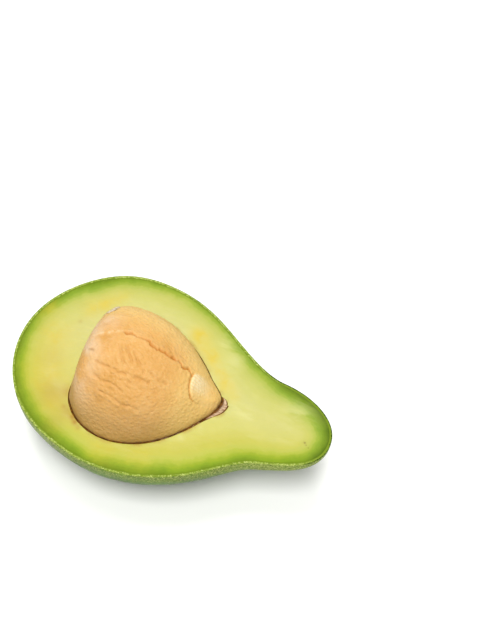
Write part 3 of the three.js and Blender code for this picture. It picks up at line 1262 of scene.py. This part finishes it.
@dataclass
class Peel(Part):
    """The peel: a cup open at the cut, with a rounded speckled edge, a dimple for the stem scar, and dots."""

    node = CadNode.SKIN
    dots: Lenticels = Lenticels()
    rest_depth: float = FACE_HEIGHT
    spacing: float = 0.62
    outer_steps: int = 170
    inner_steps: int = 30
    edge_shares: tuple[float, ...] = (0.1, 0.22, 0.36, 0.5, 0.64, 0.78, 0.9)
    edge_rise: float = 0.16
    edge_wobble: float = 0.1
    edge_cell: float = 1.3
    rim_reach: float = 6.0
    wave: float = 0.28
    wave_cell: float = 15.0
    pebble: float = 0.07
    pebble_cell: float = 2.4
    pole_reach: float = 2.0
    dimple_depth: float = 0.9
    dimple_radius: float = 3.4
    collar_height: float = 0.35
    collar_radius: float = 5.0
    collar_width: float = 1.3
    scar_reach: float = 6.0
    line_out: float = 0.6
    # Where the pale cut line shows on each side; it is partly a painted highlight on the edge's corner.
    line_far: Stops = ((0.0, 1.0), (78.0, 1.0), (90.0, 0.25), (98.0, 0.0), (114.0, 0.0))
    line_near: Stops = ((0.0, 1.0), (104.0, 1.0), (111.0, 0.2), (114.0, 0.0))
    # How strongly the pale band near the cut shows along the fruit, strongest on the neck: partly pale
    # mottling, partly painted reflection.
    dust_and_reflection_share: Stops = (
        (0.0, 1.0), (22.0, 1.25), (45.0, 0.95), (60.0, 0.9), (80.0, 1.1), (92.0, 1.5), (105.0, 1.5),
        (114.0, 0.9),
    )

    def outside(self, points: Array) -> Array:
        """Adds the skin's low relief to its plain outside.

        Args:
            points: Rows by columns by 3, each row from rim to rim under the fruit.

        Returns:
            The moved points.
        """
        along = points[..., 0]
        out = points - np.stack([along, FRUIT.bend(along), 0.0 * along], axis=-1)
        fade = np.minimum(1.0, np.hypot(out[..., 1], out[..., 2]) / self.pole_reach)
        out /= np.maximum(np.linalg.norm(out, axis=-1, keepdims=True), 1e-6)
        under = ease(0.0, self.rim_reach, -points[..., 2])
        height = under * self.wave * noise(points, self.wave_cell, Draw.PEEL_WAVES, 2)
        height += (0.3 + 0.7 * under) * self.pebble * noise(points, self.pebble_cell, Draw.PEEL_PEBBLES, 2)
        centre, direction = FRUIT.scar()
        away = np.linalg.norm(points - centre, axis=-1)
        height -= self.dimple_depth * bell(away, self.dimple_radius)
        height += self.collar_height * bell(away - self.collar_radius, self.collar_width)
        near_scar = bell(away, self.scar_reach)
        heading = out * (1 - near_scar[..., None]) + direction * near_scar[..., None]
        moved = points + heading * (height * np.maximum(fade, near_scar))[..., None]
        moved[..., 2] = np.maximum(moved[..., 2], -self.rest_depth)
        return moved

    def edge(self, outer: Array, inner: Array, seed: Draw) -> Array:
        """The rounded cut edge of one side.

        Args:
            outer: The rim's outside, n by 3.
            inner: Its inside, n by 3.
            seed: Which wobble to use.

        Returns:
            n by steps by 3, stepped across from the outside to the inside.
        """
        wobble = self.edge_wobble * noise(outer, self.edge_cell, seed, 3)
        steps = []
        for share in self.edge_shares:
            step = outer * (1 - share) + inner * share
            step[:, 2] += (self.edge_rise + wobble) * math.sin(math.pi * share)
            steps.append(step)
        return np.stack(steps, axis=1)

    def cup(self) -> Piece:
        """The cup as one closed wall, ring by ring from butt to neck.

        Returns:
            The peel.
        """
        x, radius = FRUIT.profile.sample(self.spacing)
        share = np.linspace(0.0, 1.0, len(x))
        inner_x, inner_radius = (
            np.interp(share, np.linspace(0.0, 1.0, len(values)), values)
            for values in FRUIT.profile.sample(0.05, -FRUIT.skin_thickness)
        )
        down = np.linspace(0.0, np.pi, self.outer_steps)[None, :]
        back = np.linspace(np.pi, 0.0, self.inner_steps)[None, :]
        outer = self.outside(FRUIT.side(x[:, None], radius[:, None], down))
        inner = FRUIT.side(inner_x[:, None], inner_radius[:, None], back)
        inner[..., 2] = np.maximum(inner[..., 2], FRUIT.skin_thickness - self.rest_depth)
        near = self.edge(outer[:, -1], inner[:, 0], Draw.NEAR_EDGE)
        far = self.edge(outer[:, 0], inner[:, -1], Draw.FAR_EDGE)[:, ::-1]
        rings = np.concatenate([outer, near, inner, far], axis=1)
        shares = np.array(self.edge_shares)
        across = np.r_[
            np.zeros(self.outer_steps), shares**self.line_out, np.ones(self.inner_steps), shares[::-1]
        ]
        along = rings[..., 0]
        on_far = rings[..., 1] > FRUIT.bend(along)
        return piece_from_rings("peel", rings, {
            "across_rim": np.tile(across, (len(x), 1)),
            "pale_line": np.where(on_far, read(self.line_far, along), read(self.line_near, along)),
            "to_scar": np.linalg.norm(rings - FRUIT.scar()[0], axis=2),
            "depth": -rings[..., 2],
            "dust_and_reflection_share": read(self.dust_and_reflection_share, along),
        })

    def build(self) -> list[Piece]:
        """Builds and dresses the peel and its dots.

        Returns:
            The two pieces.
        """
        peel, finish = self.cup(), LenticelFinish().material()
        dots = self.dots.scatter(peel, finish)
        return [self.dress(peel, PeelFinish().material()), self.dress(dots, finish, replaces=False)]


@dataclass
class Flesh(Part):
    """The flesh: its cut face, the hollow for the pit, and its outside under the peel."""

    node = CadNode.FLESH
    columns: int = 720
    outline_corners: int = 240
    face_rows: int = 86
    hollow_rows: int = 16
    outside_rows: int = 9
    rest_depth: float = FACE_HEIGHT - FRUIT.skin_thickness
    underside_middle: tuple[float, float] = (50.0, 0.0)
    edge_drop: float = 0.08
    edge_width: float = 0.2
    wave: float = 0.14
    wave_cell: float = 17.0
    knife_depth: float = 0.05
    knife_cell: float = 1.2
    knife_stretch: float = 6.0
    dip_depth: float = 0.12
    dip_place: float = 1.6
    ripening: float = 1.12
    green_far: Stops = (
        (0.0, 0.0), (28.0, 0.2), (40.0, 1.5), (51.0, 2.3), (77.0, 2.0), (88.0, 0.4), (99.0, -1.6),
        (107.0, -2.3), (114.0, -2.0),
    )
    green_near: Stops = (
        (0.0, 0.4), (32.0, 0.5), (61.0, -0.2), (84.0, 0.6), (93.0, 1.5), (99.5, 2.0), (108.0, -0.4),
        (114.0, -2.0),
    )
    blushes: Spots = (
        (19.5, 17.5, 3.4, 0.8), (23.5, 22.0, 3.2, 0.9), (28.0, 25.5, 3.0, 0.6), (12.0, 4.0, 6.5, 0.7),
        (13.0, -9.0, 7.0, 0.7), (20.0, -19.0, 4.5, 0.5), (5.5, 13.0, 4.0, 0.5), (57.5, 22.0, 3.0, 0.8),
        (61.5, 18.6, 3.4, 1.0), (66.0, 14.8, 3.2, 0.8), (73.5, 7.8, 3.0, 1.0), (77.0, 4.6, 2.2, 0.7),
        (60.0, 21.6, 2.0, 0.7), (65.5, 16.6, 2.0, 0.7), (70.0, 11.4, 2.2, 0.8), (44.0, -29.5, 5.0, 0.5),
        (55.0, -27.0, 4.5, 0.4),
    )
    # Soft spots by x, y, size and strength: the small ones are orange-brown stains by the hollow; the three
    # broad faint ones, at (19, -16), (24, -25.5) and (14, -4), are painted shade over the lower left of the
    # face.
    stains_and_painted_shade: Spots = (
        (30.4, -22.9, 1.1, 0.95), (28.9, -21.5, 1.0, 0.75), (32.2, -24.3, 0.9, 0.5), (24.6, -19.0, 0.9, 0.35),
        (17.5, 12.0, 0.8, 0.3), (24.0, -13.5, 2.6, 0.45), (27.0, -20.0, 2.6, 0.45), (19.0, -16.0, 5.5, 0.38),
        (24.0, -25.5, 4.0, 0.25), (14.0, -4.0, 4.5, 0.15),
    )
    # Spots of painted sheen: moist highlights laid on as a creamy colour.
    painted_sheen_spots: Spots = (
        (79.5, 1.0, 2.4, 0.7), (84.0, 0.2, 3.0, 0.5), (66.0, -15.2, 1.3, 0.6), (71.0, -10.5, 1.4, 0.6),
        (68.0, 22.5, 3.0, 0.5), (73.0, 17.5, 3.4, 0.5), (100.0, 6.0, 5.0, 0.5),
    )
    specks: Spots = ((105.6, -2.2, 0.35, 0.9), (106.3, -2.9, 0.22, 0.7), (107.3, -3.5, 0.2, 0.6))

    def spots(self, plan: Array, places: Spots) -> Array:
        """How strongly soft round spots, given by x, y, size and strength, cover points of the face."""
        return unit(sum(level * bell(np.hypot(*(plan - (x, y)).T), size) for x, y, size, level in places))

    def face(self, hollow: Array, outer: Array) -> Array:
        """The plain cut face.

        Args:
            hollow: The edge of the hollow, n by 2.
            outer: The outline under the peel, n by 2.

        Returns:
            Rows by n by 3, closer together beside both edges.
        """
        even = np.linspace(0.0, 1.0, self.face_rows)
        crowded = 0.5 - 0.5 * np.cos(np.pi * even)
        share = (0.45 * even + 0.55 * crowded)[:, None, None]
        return raised(hollow * (1 - share) + outer * share, np.zeros(1))

    def relief(self, points: Array, from_hollow: Array, from_peel: Array) -> Array:
        """How high the cut face stands over its plane: soft waves, knife marks, and a rounded edge.

        Args:
            points: Places on the face, n by 3.
            from_hollow: Their distances from the hollow.
            from_peel: Their distances from the fruit's outline.

        Returns:
            One height for each place.
        """
        calm = ease(1.0, 2.6, from_peel)
        height = calm * self.wave * noise(points, self.wave_cell, Draw.FLESH_WAVES, 2)
        stretched = points / np.array([self.knife_stretch, 1.0, 1.0])
        height += calm * self.knife_depth * noise(stretched, self.knife_cell, Draw.KNIFE_MARKS, 2)
        height -= self.edge_drop * np.exp(-from_hollow / self.edge_width)
        dip = bell(from_hollow - self.dip_place, self.dip_place)
        return height - self.dip_depth * ease(0.0, 1.0, from_hollow) * dip

    def outside(self, edge: Array) -> Array:
        """The outside under the peel.

        Args:
            edge: The outline at the cut, n by 2.

        Returns:
            Rows by n by 3, from under the cut down to the bottom.
        """
        turn = np.linspace(np.pi / 2, 0.0, self.outside_rows + 1)[1:, None, None]
        plan = self.underside_middle + (edge - self.underside_middle) * np.sin(turn)
        along = plan[..., 0]
        half = np.maximum(FRUIT.profile.radius(along, -FRUIT.skin_thickness), 1e-6)
        rise = FRUIT.cut_rise(along)
        aside = (plan[..., 1] - FRUIT.bend(along)) * np.cos(rise) / half
        drop = np.sqrt(np.maximum(1 - aside**2, 0.0)) + np.sin(rise)
        drop *= FRUIT.depth_ratio(along) * half / (1 + np.sin(rise))
        return raised(plan, -np.minimum(drop, self.rest_depth))

    def body(self) -> Piece:
        """The flesh as one closed body, from the hollow's bottom to the underside.

        Returns:
            The flesh.
        """
        hollow = SEED.outline(SEED.hollow, self.columns)
        outer = FRUIT.outline(FRUIT.skin_thickness, self.columns)
        wall = SEED.wall(hollow, SEED.hollow, self.hollow_rows)
        rows = np.concatenate([wall, self.face(hollow, outer), self.outside(outer)])
        points = rows.reshape(-1, 3)
        plan = points[:, :2]
        from_peel = distance_to_line(plan, FRUIT.outline(0.0, self.outline_corners), closed=True)
        from_hollow = distance_to_line(plan, hollow[:: self.columns // self.outline_corners], closed=True)
        on_face = slice(self.hollow_rows * self.columns, (self.hollow_rows + self.face_rows) * self.columns)
        points[on_face, 2] = self.relief(points[on_face], from_hollow[on_face], from_peel[on_face])
        far, near = (read(stops, plan[:, 0]) for stops in (self.green_far, self.green_near))
        on_far = ease(-5.0, 5.0, plan[:, 1] - FRUIT.bend(plan[:, 0]))
        return piece_from_rings("flesh_half", rows, {
            "from_peel": from_peel,
            "from_hollow": from_hollow,
            "ripeness": self.ripening * from_peel + far * on_far + near * (1 - on_far),
            "far_side": ease(-14.0, 12.0, plan[:, 1]),
            "blush": self.spots(plan, self.blushes),
            "stain_and_shade": self.spots(plan, self.stains_and_painted_shade),
            "cream": self.spots(plan, self.painted_sheen_spots),
            "speck": self.spots(plan, self.specks),
        })

    def build(self) -> list[Piece]:
        """Builds and dresses the flesh."""
        return [self.dress(self.body(), FleshFinish().material())]


@dataclass
class Pit(Part):
    """The seed, with its open seam, the lobe at its point, and its wrinkles."""

    node = CadNode.PIT
    spacing: float = 0.28
    upper_columns: int = 300
    lower_columns: int = 36
    upper_reach: tuple[float, float] = (-14.0, 194.0)
    wave: float = 0.3
    seam_angle: float = 72.4
    seam_sweep: float = 11.0
    seam_straight: float = 18.0
    seam_depth: float = 0.85
    seam_width: float = 0.42
    seam_step: float = 1.7
    open_run: Reach = (12.6, 14.2, 38.4, 39.4)
    shut_run: Reach = (2.5, 5.0, 12.0, 15.0)
    openings: Stops = ((15.0, 1.7), (22.9, 1.9), (28.0, 2.3), (31.8, 1.2), (36.2, 2.3))
    banks: tuple[tuple[float, float, float], ...] = ((1.05, 0.7, 0.26), (-1.2, 0.9, 0.1), (-2.8, 1.6, -0.16))
    ridge_height: float = 0.14
    ridge_width: float = 0.45
    lobe_start: float = 38.9
    lobe_recede: float = 5.2
    lobe_angle: float = 78.0
    lobe_span: float = 48.0
    lobe_height: float = 0.6
    groove_depth: float = 0.6
    rib_angle: float = 5.5
    rib_height: float = 0.05
    creases: tuple[Stops, ...] = (
        (
            (8.5, 106.5), (11.0, 107.0), (13.9, 106.7), (17.0, 107.8), (19.9, 107.2), (23.3, 107.2),
            (27.5, 105.7),
        ),
        ((9.0, 117.0), (12.1, 119.5), (15.0, 118.8), (18.0, 119.6), (20.7, 123.0)),
        ((14.1, 85.0), (15.0, 89.5), (16.0, 94.0), (17.7, 99.0)),
        ((16.5, 84.5), (17.6, 88.5), (19.3, 92.5), (20.6, 98.0)),
        ((20.0, 88.0), (21.6, 92.0), (23.6, 95.0), (25.0, 99.5)),
        ((13.0, 129.0), (17.0, 129.5), (21.5, 133.5), (26.5, 133.0)),
        ((27.0, 97.0), (30.5, 100.5), (33.0, 100.8)),
    )
    crease_depth: float = 0.36
    crease_width: float = 0.42
    crease_bank: float = 0.14
    fold_depth: float = 0.06
    busy_depth: float = 0.17
    busy_turn: Reach = (82.0, 92.0, 112.0, 126.0)
    busy_run: Reach = (7.0, 12.0, 20.0, 28.0)
    front_depth: float = 0.1
    front_run: Reach = (4.0, 8.0, 34.0, 40.0)
    back_height: float = 0.16
    back_run: Reach = (8.0, 14.0, 32.0, 37.0)

    def seam(self, x: Array) -> Array:
        """The seam's angle in degrees at each distance from the base: it sweeps in, then runs straight."""
        return self.seam_angle + self.seam_sweep * (1 - ease(0.0, self.seam_straight, x))

    def split(self, x: Array, arc: Array, radius: Array) -> tuple[Array, Array, Array]:
        """The seam, shut and ridged near the base, and torn open in stretches towards the point.

        Args:
            x: Distance from the base.
            arc: Distance round the seed from +Y.
            radius: Plain radius.

        Returns:
            Its heights, how open it is, and how pale its shut ridge is.
        """
        stepped = np.floor(x / self.seam_step) + ease(0.35, 0.65, x / self.seam_step % 1.0)
        jag = 0.5 * wander(stepped, 1.0, Draw.SEAM_STEPS, 1)
        jag += 0.35 * (wander(x, 3.0, Draw.SEAM_BENDS) + wander(x, 0.7, Draw.SEAM_TEETH))
        off = arc - np.radians(self.seam(x)) * radius - jag
        torn = unit(sum(bell(x - at, size) for at, size in self.openings))
        run = plateau(x, *self.open_run)
        width = self.seam_width * (0.5 + 0.85 * torn) * (1 + 0.5 * wander(x, 0.8, Draw.SEAM_WIDTH))
        crack = run * (0.55 + 0.45 * torn) * bell(off, width)
        height = run * sum(rise * bell(off - at, size) for at, size, rise in self.banks)
        shut = plateau(x, *self.shut_run) * unit(0.35 + 1.6 * wander(x, 0.75, Draw.SHUT_SEAM))
        ridge = shut * bell(off, self.ridge_width)
        beside = ease(*self.shut_run[:2], x) * (1 - run) * bell(off - 1.1, 0.6)
        return height - self.seam_depth * crack + self.ridge_height * ridge - 0.08 * beside, crack, ridge

    def lobe(self, x: Array, angle: Array, plain: Array) -> tuple[Array, Array, Array, Array]:
        """The ribbed lobe over the germ, behind a groove.

        Args:
            x: Distance from the base.
            angle: Angle round the axis, in degrees.
            plain: Plain points, n by 3.

        Returns:
            Its heights, where it is, how open its groove is, and its painted highlight.
        """
        aside = (angle - self.lobe_angle) / self.lobe_span
        past = x - self.lobe_start - self.lobe_recede * aside**2 + 0.25 * noise(plain, 1.6, Draw.LOBE_EDGE, 2)
        lower, soft = ease(-0.75, -0.1, aside), ease(-0.1, -0.6, aside)
        on = plateau(aside, -0.75, -0.1, 0.55, 1.05) * ease(0.0, 1.0, past / (1.1 + 4.0 * soft))
        groove = plateau(aside, -0.3, -0.06, 0.6, 0.95) * bell(past + 0.05, 0.3)
        groove *= 0.8 + 0.4 * noise(plain, 1.0, Draw.GROOVE, 2)
        ribs = np.cos(2.0 * np.pi * angle / self.rib_angle + 3.5 * noise(plain, 2.2, Draw.RIBS, 2))
        ribs *= plateau(past, 0.1, 0.8, 2.2, 5.0) * (1 - ease(0.25, 0.7, aside))
        height = self.lobe_height * on * (1 - ease(1.5, 9.0, past))
        height += self.rib_height * ribs * lower - self.groove_depth * groove
        # Painted highlight: the lobe's edge by the groove is painted pale, stronger on its ribs.
        pale = lower * ease(0.0, 1.0, past / (0.6 + 4.0 * soft)) * (1 - ease(2.5, 8.0, past))
        pale *= (1 - 0.9 * ease(0.1, 0.6, aside)) * (1 - 0.5 * soft) * (0.8 + 0.25 * ribs)
        return height, on, unit(groove), pale

    def wrinkles(
        self, x: Array, angle: Array, arc: Array, plain: Array, on_lobe: Array
    ) -> tuple[Array, Array]:
        """The creases and the fine pebbled folds.

        Args:
            x: Distance from the base.
            angle: Angle round the axis, in degrees.
            arc: Distance round the seed from +Y.
            plain: Plain points, n by 3.
            on_lobe: Where the lobe is, which stays smoother.

        Returns:
            Their heights, and how deep the creases are.
        """
        where = np.column_stack([x, arc]) + 0.45 * noise(plain, 1.8, Draw.CREASE_STRAY, 2)[:, None]
        broken = unit(0.7 + 0.7 * noise(plain, 2.2, Draw.CREASE_BREAKS, 2))
        level, height, deep = np.zeros((3, len(x)))
        for crease in self.creases:
            at, turn = np.array(crease).T
            gap = distance_to_line(where, np.column_stack([at, np.radians(turn) * SEED.profile.radius(at)]))
            deep = np.maximum(deep, broken * bell(gap, self.crease_width))
            height += self.crease_bank * bell(gap - 1.2, 0.75)
        height -= self.crease_depth * deep
        swirl = 3.0 * noise(plain, 5.5, Draw.SWIRL, 2)
        slant = np.column_stack([(x + arc) / 3.0 + 0.4 * swirl, x - arc + swirl, level])
        folds = unit(1 - 3.0 * np.abs(noise(slant, 1.25, Draw.FOLDS, 2)))
        busy = plateau(angle, *self.busy_turn) * plateau(x, *self.busy_run)
        busy = unit(busy * (0.75 + 0.6 * noise(plain, 5.0, Draw.BUSY_PATCH)))
        height -= (self.fold_depth + self.busy_depth * busy) * folds * (1 - on_lobe)
        long = np.column_stack([x / 4.0 + 0.2 * swirl, arc + 0.3 * swirl, level])
        rows = unit(1 - 3.2 * np.abs(noise(long, 1.7, Draw.FRONT_FOLDS, 2)))
        front = ease(95.0, 110.0, angle) * (1 - on_lobe) * plateau(x, *self.front_run)
        height -= self.front_depth * front * rows
        combed = np.column_stack([x + 0.3 * swirl, arc / 2.6, level])
        back = ease(76.0, 68.0, angle) * plateau(x, *self.back_run)
        height += self.back_height * back * noise(combed, 1.2, Draw.BACK_FOLDS, 2)
        rough = (0.12 - 0.05 * ease(118.0, 140.0, angle)) * (1 - 0.6 * on_lobe)
        height += rough * noise(plain, 1.1, Draw.PIT_PEBBLES, 2)
        return height, unit(deep + 0.25 * busy * folds**2 + 0.15 * front * rows**2)

    def body(self) -> Piece:
        """The seed, ring by ring from its base to its point, fine above the cut.

        Returns:
            The seed.
        """
        ring_x, ring_radius = SEED.profile.sample(self.spacing)
        start, end = self.upper_reach
        upper = np.linspace(start, end, self.upper_columns)
        angles = np.r_[upper, np.linspace(end, start + 360.0, self.lower_columns + 2)[1:-1]]
        x, angle = (part.ravel() for part in np.meshgrid(ring_x, angles, indexing="ij"))
        radius = np.repeat(ring_radius, len(angles))
        plain = SEED.point(x, radius, angle)
        turned = (angle + 90.0) % 360.0 - 90.0
        arc = np.radians(turned) * radius
        split, crack, ridge = self.split(x, arc, radius)
        lobe, on_lobe, groove, pale = self.lobe(x, turned, plain)
        folds, crease = self.wrinkles(x, turned, arc, plain, on_lobe)
        height = split * (1 - on_lobe) + lobe + folds + self.wave * noise(plain, 12.0, Draw.PIT_WAVES, 2)
        height *= ease(-3.5, -0.3, plain[:, 2])
        on_far = ease(-0.3, 0.3, np.cos(np.radians(angle)))
        swell = SEED.edge.far.at(x) * on_far + SEED.edge.near.at(x) * (1 - on_far)
        swell *= bell(np.maximum(plain[:, 2], 0.0), 4.0) * ease(-14.0, -5.0, plain[:, 2])
        calm = np.minimum(1.0, radius / 2.5)
        run = np.column_stack([np.gradient(ring_x), -np.gradient(ring_radius)])
        out, back = np.repeat(run / np.hypot(*run.T)[:, None], len(angles), axis=0).T
        points = SEED.point(
            x + calm * swell * back, np.maximum(radius + calm * (height + swell * out), 0.0), angle
        )
        return piece_from_rings("seed", points.reshape(len(ring_x), len(angles), 3), {
            "crack": unit(0.95 * crack * (1 - on_lobe) + 0.75 * groove),
            # How deep the creases and folds are, which sets their painted shade.
            "crease": crease,
            # The lobe's painted highlight, with the paler ridge of the shut seam.
            "pale": unit(pale + 0.7 * ridge),
            # Where the painted shade on the lower near flank lies.
            "low": ease(118.0, 160.0, turned),
            # Where the painted light on the far shoulder lies.
            "high": ease(70.0, 40.0, turned),
            # Where the painted shade on the middle of the seed's top lies.
            "middle": bell(turned - 100.0, 26.0) * bell(x - 17.0, 13.0),
            "spot": bell(np.hypot((x - 5.6) / 2.2, arc - np.radians(98.0) * radius), 0.5),
            "along": x,
        })

    def build(self) -> list[Piece]:
        """Builds and dresses the seed."""
        return [self.dress(self.body(), PitFinish().material())]


@dataclass
class SeedCoat(Part):
    """What is left of the brown seed coat: a torn lining of the hollow, and a flake on the seed."""

    node = CadNode.SEED_COAT
    columns: int = 900
    depth_rows: int = 12
    lip_rows: int = 9
    clear: float = 0.1
    torn: float = 0.16
    lip_drop: float = 0.1
    lip_sag: float = 0.2
    fold_height: float = 0.25
    flake_steps: tuple[int, int] = (60, 24)
    flake_place: tuple[float, float] = (3.9, 36.0)
    flake_reach: tuple[float, float] = (2.5, 11.0)
    flake_rise: float = 0.3
    flake_thickness: float = 0.25

    def lining(self) -> Piece:
        """The lining between the pit and the flesh, torn at the cut, with a papery scrap at its point.

        Returns:
            The lining.
        """
        pit = SEED.edge.wider(self.clear)
        inner, outer = (SEED.outline(lining, self.columns) for lining in (pit, SEED.hollow))
        share = np.linspace(0.0, 1.0, self.lip_rows)[:, None]
        lip = raised(inner * (1 - share[..., None]) + outer * share[..., None], np.zeros(1))
        width = np.hypot(*(outer - inner).T)
        along = lip[..., 0] - SEED.place[0]
        crumpled = noise(lip, 0.9, Draw.COAT_CRUMPLE, 3)
        folds = noise(lip / np.array([1.6, 0.7, 1.0]), 0.9, Draw.COAT_FOLDS, 2)
        middle = np.sin(np.pi * share)
        at_point = ease(47.4, 49.0, along) * ease(0.6, 1.3, width)
        lip[..., 2] = self.torn * crumpled - self.lip_drop - self.lip_sag * middle * np.minimum(width, 1.5)
        lip[..., 2] += self.fold_height * at_point * middle * folds
        outside = SEED.wall(outer, SEED.hollow, self.depth_rows)[::-1]
        rows = np.concatenate([SEED.wall(inner, pit, self.depth_rows), lip, outside])
        strands = 0.5 * ease(31.0, 37.0, along) * ease(0.35, 0.7, width) * middle**4
        lifted = at_point * plateau(share, 0.28, 0.45, 0.76, 0.88) * (0.85 + 0.5 * folds)
        lifted = unit(lifted + strands * ease(-0.3, 0.4, crumpled))
        marks = np.pad(lifted, ((self.depth_rows, self.depth_rows), (0, 0)))
        return piece_from_rings("seed_coat_lining", rows, {"lifted": marks})

    def flake(self) -> Piece:
        """The thin flake of coat that still sticks to the seed by its far shoulder.

        Returns:
            The flake, closed under its top.
        """
        u, v = np.meshgrid(*(np.linspace(-1.0, 1.0, steps) for steps in self.flake_steps), indexing="ij")
        rough = 1.0 + 0.35 * wander(4.0 * np.arctan2(v, u), 1.3, Draw.FLAKE_OUTLINE)
        x = self.flake_place[0] + self.flake_reach[0] * u * rough * np.sqrt(1 - 0.5 * v**2)
        x = np.maximum(x, 0.6)
        angle = self.flake_place[1] + 2.0 * u + self.flake_reach[1] * v * rough * np.sqrt(1 - 0.5 * u**2)
        radius = SEED.profile.radius(x)
        plain = SEED.point(x, radius, angle)
        rise = self.flake_rise + 0.25 * noise(plain, 1.1, Draw.FLAKE_RISE, 3)
        top = SEED.point(x, radius + rise, angle)
        bleached = unit(0.9 + 0.5 * noise(plain, 1.2, Draw.FLAKE_COLOUR, 2))
        rings = np.concatenate([top, top[:, ::-1] - np.array([0.0, 0.0, self.flake_thickness])], axis=1)
        first, last = (np.broadcast_to(ring.mean(axis=0), (1, *ring.shape)) for ring in (rings[0], rings[-1]))
        marks = np.pad(np.concatenate([bleached, bleached[:, ::-1]], axis=1), ((1, 1), (0, 0)), "edge")
        return piece_from_rings("seed_coat_flake", np.concatenate([first, rings, last]), {"bleached": marks})

    def build(self) -> list[Piece]:
        """Builds and dresses the lining and the flake."""
        finish = CoatFinish().material()
        return [self.dress(self.lining(), finish), self.dress(self.flake(), finish, replaces=False)]


@dataclass
class StemScar(Part):
    """The corky end of the stem, sunk in its dimple, with a slit."""

    node = CadNode.STEM_SCAR
    radius: float = 3.0
    depth: float = 1.4
    dome: float = 0.1
    sunk: float = 0.5
    crumb: float = 0.16
    slit_depth: float = 0.7
    slit_width: float = 0.26
    ring_height: float = 0.28
    ring_radius: float = 2.1
    rings: int = 34
    sides: int = 96

    def plug(self) -> Piece:
        """The plug: a rough round top with a slit, and a plain stub under the skin.

        Returns:
            The stem's end.
        """
        centre, out = FRUIT.scar()
        across = np.array([0.0, 1.0, 0.0])
        up = np.cross(out, across)
        reach, turn = np.meshgrid(
            np.linspace(0.0, 1.0, self.rings),
            np.linspace(0.0, 2 * np.pi, self.sides, endpoint=False),
            indexing="ij",
        )
        away = self.radius * reach * (1.0 + 0.05 * np.cos(3 * turn + 0.7) + 0.04 * np.cos(5 * turn))
        a, b = away * np.cos(turn), away * np.sin(turn)
        flat = np.stack([a, b, np.zeros_like(a)], axis=-1)
        slit = bell(a - 0.25 * np.sin(b * 1.4), self.slit_width) * (1 - ease(1.5, 2.1, np.abs(b)))
        rise = self.dome - self.sunk + self.crumb * noise(flat, 0.9, Draw.CORK, 3)
        rise += self.ring_height * bell(away - self.ring_radius, 0.5) - self.slit_depth * slit
        rise -= 0.35 * ease(0.86, 1.0, reach)
        top = centre + sum(part[..., None] * way for part, way in ((a, across), (b, up), (rise, out)))
        foot = top[-1:] - out * self.depth
        tip = np.broadcast_to(foot.mean(axis=1, keepdims=True), foot.shape)
        marks = np.pad(unit(1.2 * slit), ((0, 2), (0, 0)))
        return piece_from_rings("stem_end", np.concatenate([top, foot, tip]), {"slit": marks})

    def build(self) -> list[Piece]:
        """Builds and dresses the stem's end."""
        return [self.dress(self.plug(), CorkFinish().material())]


# ---------------------------------------------------------------- the studio


@dataclass(frozen=True)
class Lamp:
    """A soft square light that hangs over the fruit."""

    name: str
    azimuth: float
    elevation: float
    distance: float
    size: float
    power: float


@dataclass
class Studio:
    """The pale floor, the soft lights and the camera."""

    floor_half: float = 3.0
    camera_azimuth: float = 20.83
    camera_elevation: float = 66.0
    camera_distance: float = 0.525
    camera_lens: float = 85.0
    aim: tuple[float, float] = (12.07, 32.13)
    world_strength: float = 0.42
    lamps: tuple[Lamp, ...] = (
        Lamp("front_light", azimuth=14.0, elevation=78.0, distance=1.0, size=0.32, power=7.6),
        Lamp("back_light", azimuth=205.0, elevation=72.0, distance=1.1, size=0.42, power=7.0),
    )

    def hang(self, name: str, data: bpy.types.ID, target: Vector, view: tuple[float, float, float]) -> Piece:
        """Hangs a light or a camera so that it looks at a target.

        Args:
            name: Its name.
            data: Its data.
            target: What it looks at, in metres.
            view: Its azimuth from the front, its elevation and its distance.

        Returns:
            Its object.
        """
        a, e = math.radians(view[0]), math.radians(view[1])
        away = Vector((math.sin(a) * math.cos(e), -math.cos(a) * math.cos(e), math.sin(e)))
        made = add(name, data)
        made.location = target + away * view[2]
        made.rotation_euler = away.to_track_quat("Z", "Y").to_euler()
        return made

    def floor(self) -> None:
        """Lays the floor that the fruit rests on."""
        half = self.floor_half
        corners = [(-half, -half, 0), (half, -half, 0), (half, half, 0), (-half, half, 0)]
        mesh = bpy.data.meshes.new("floor")
        mesh.from_pydata(corners, [], [(0, 1, 2, 3)])
        mesh.materials.append(FloorFinish().material())
        floor = add("floor", mesh)

    def light(self) -> None:
        """Hangs the soft lights, and sets an even white surround."""
        middle = Vector((0.0, 0.0, FACE_HEIGHT * MM))
        for lamp in self.lamps:
            data = bpy.data.lights.new(lamp.name, "AREA")
            data.shape, data.size, data.energy = "SQUARE", lamp.size, lamp.power
            self.hang(lamp.name, data, middle, (lamp.azimuth, lamp.elevation, lamp.distance))
        world = bpy.data.worlds.new("studio")
        world.use_nodes = True
        surround = world.node_tree.nodes["Background"]
        surround.inputs["Color"].default_value = (1.0, 1.0, 1.0, 1.0)
        surround.inputs["Strength"].default_value = self.world_strength
        bpy.context.scene.world = world

    def camera(self) -> None:
        """Stands the camera over the front right, looking down."""
        data = bpy.data.cameras.new("camera")
        data.lens = self.camera_lens
        view = (self.camera_azimuth, self.camera_elevation, self.camera_distance)
        camera = self.hang("camera", data, Vector((*self.aim, FACE_HEIGHT)) * MM, view)
        bpy.context.scene.camera = camera
        bpy.context.scene.view_settings.view_transform = "Standard"


def main() -> None:
    """Builds the studio and every part in order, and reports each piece."""
    logging.basicConfig(level=logging.INFO, format="%(name)s: %(message)s")
    studio = Studio()
    studio.camera()
    studio.floor()
    studio.light()
    for part in (Peel(), Flesh(), SeedCoat(), Pit(), StemScar()):
        for piece in part.build():
            LOG.info("%s: %d faces", piece.name, len(piece.data.polygons))


if __name__ == "__main__":
    main()
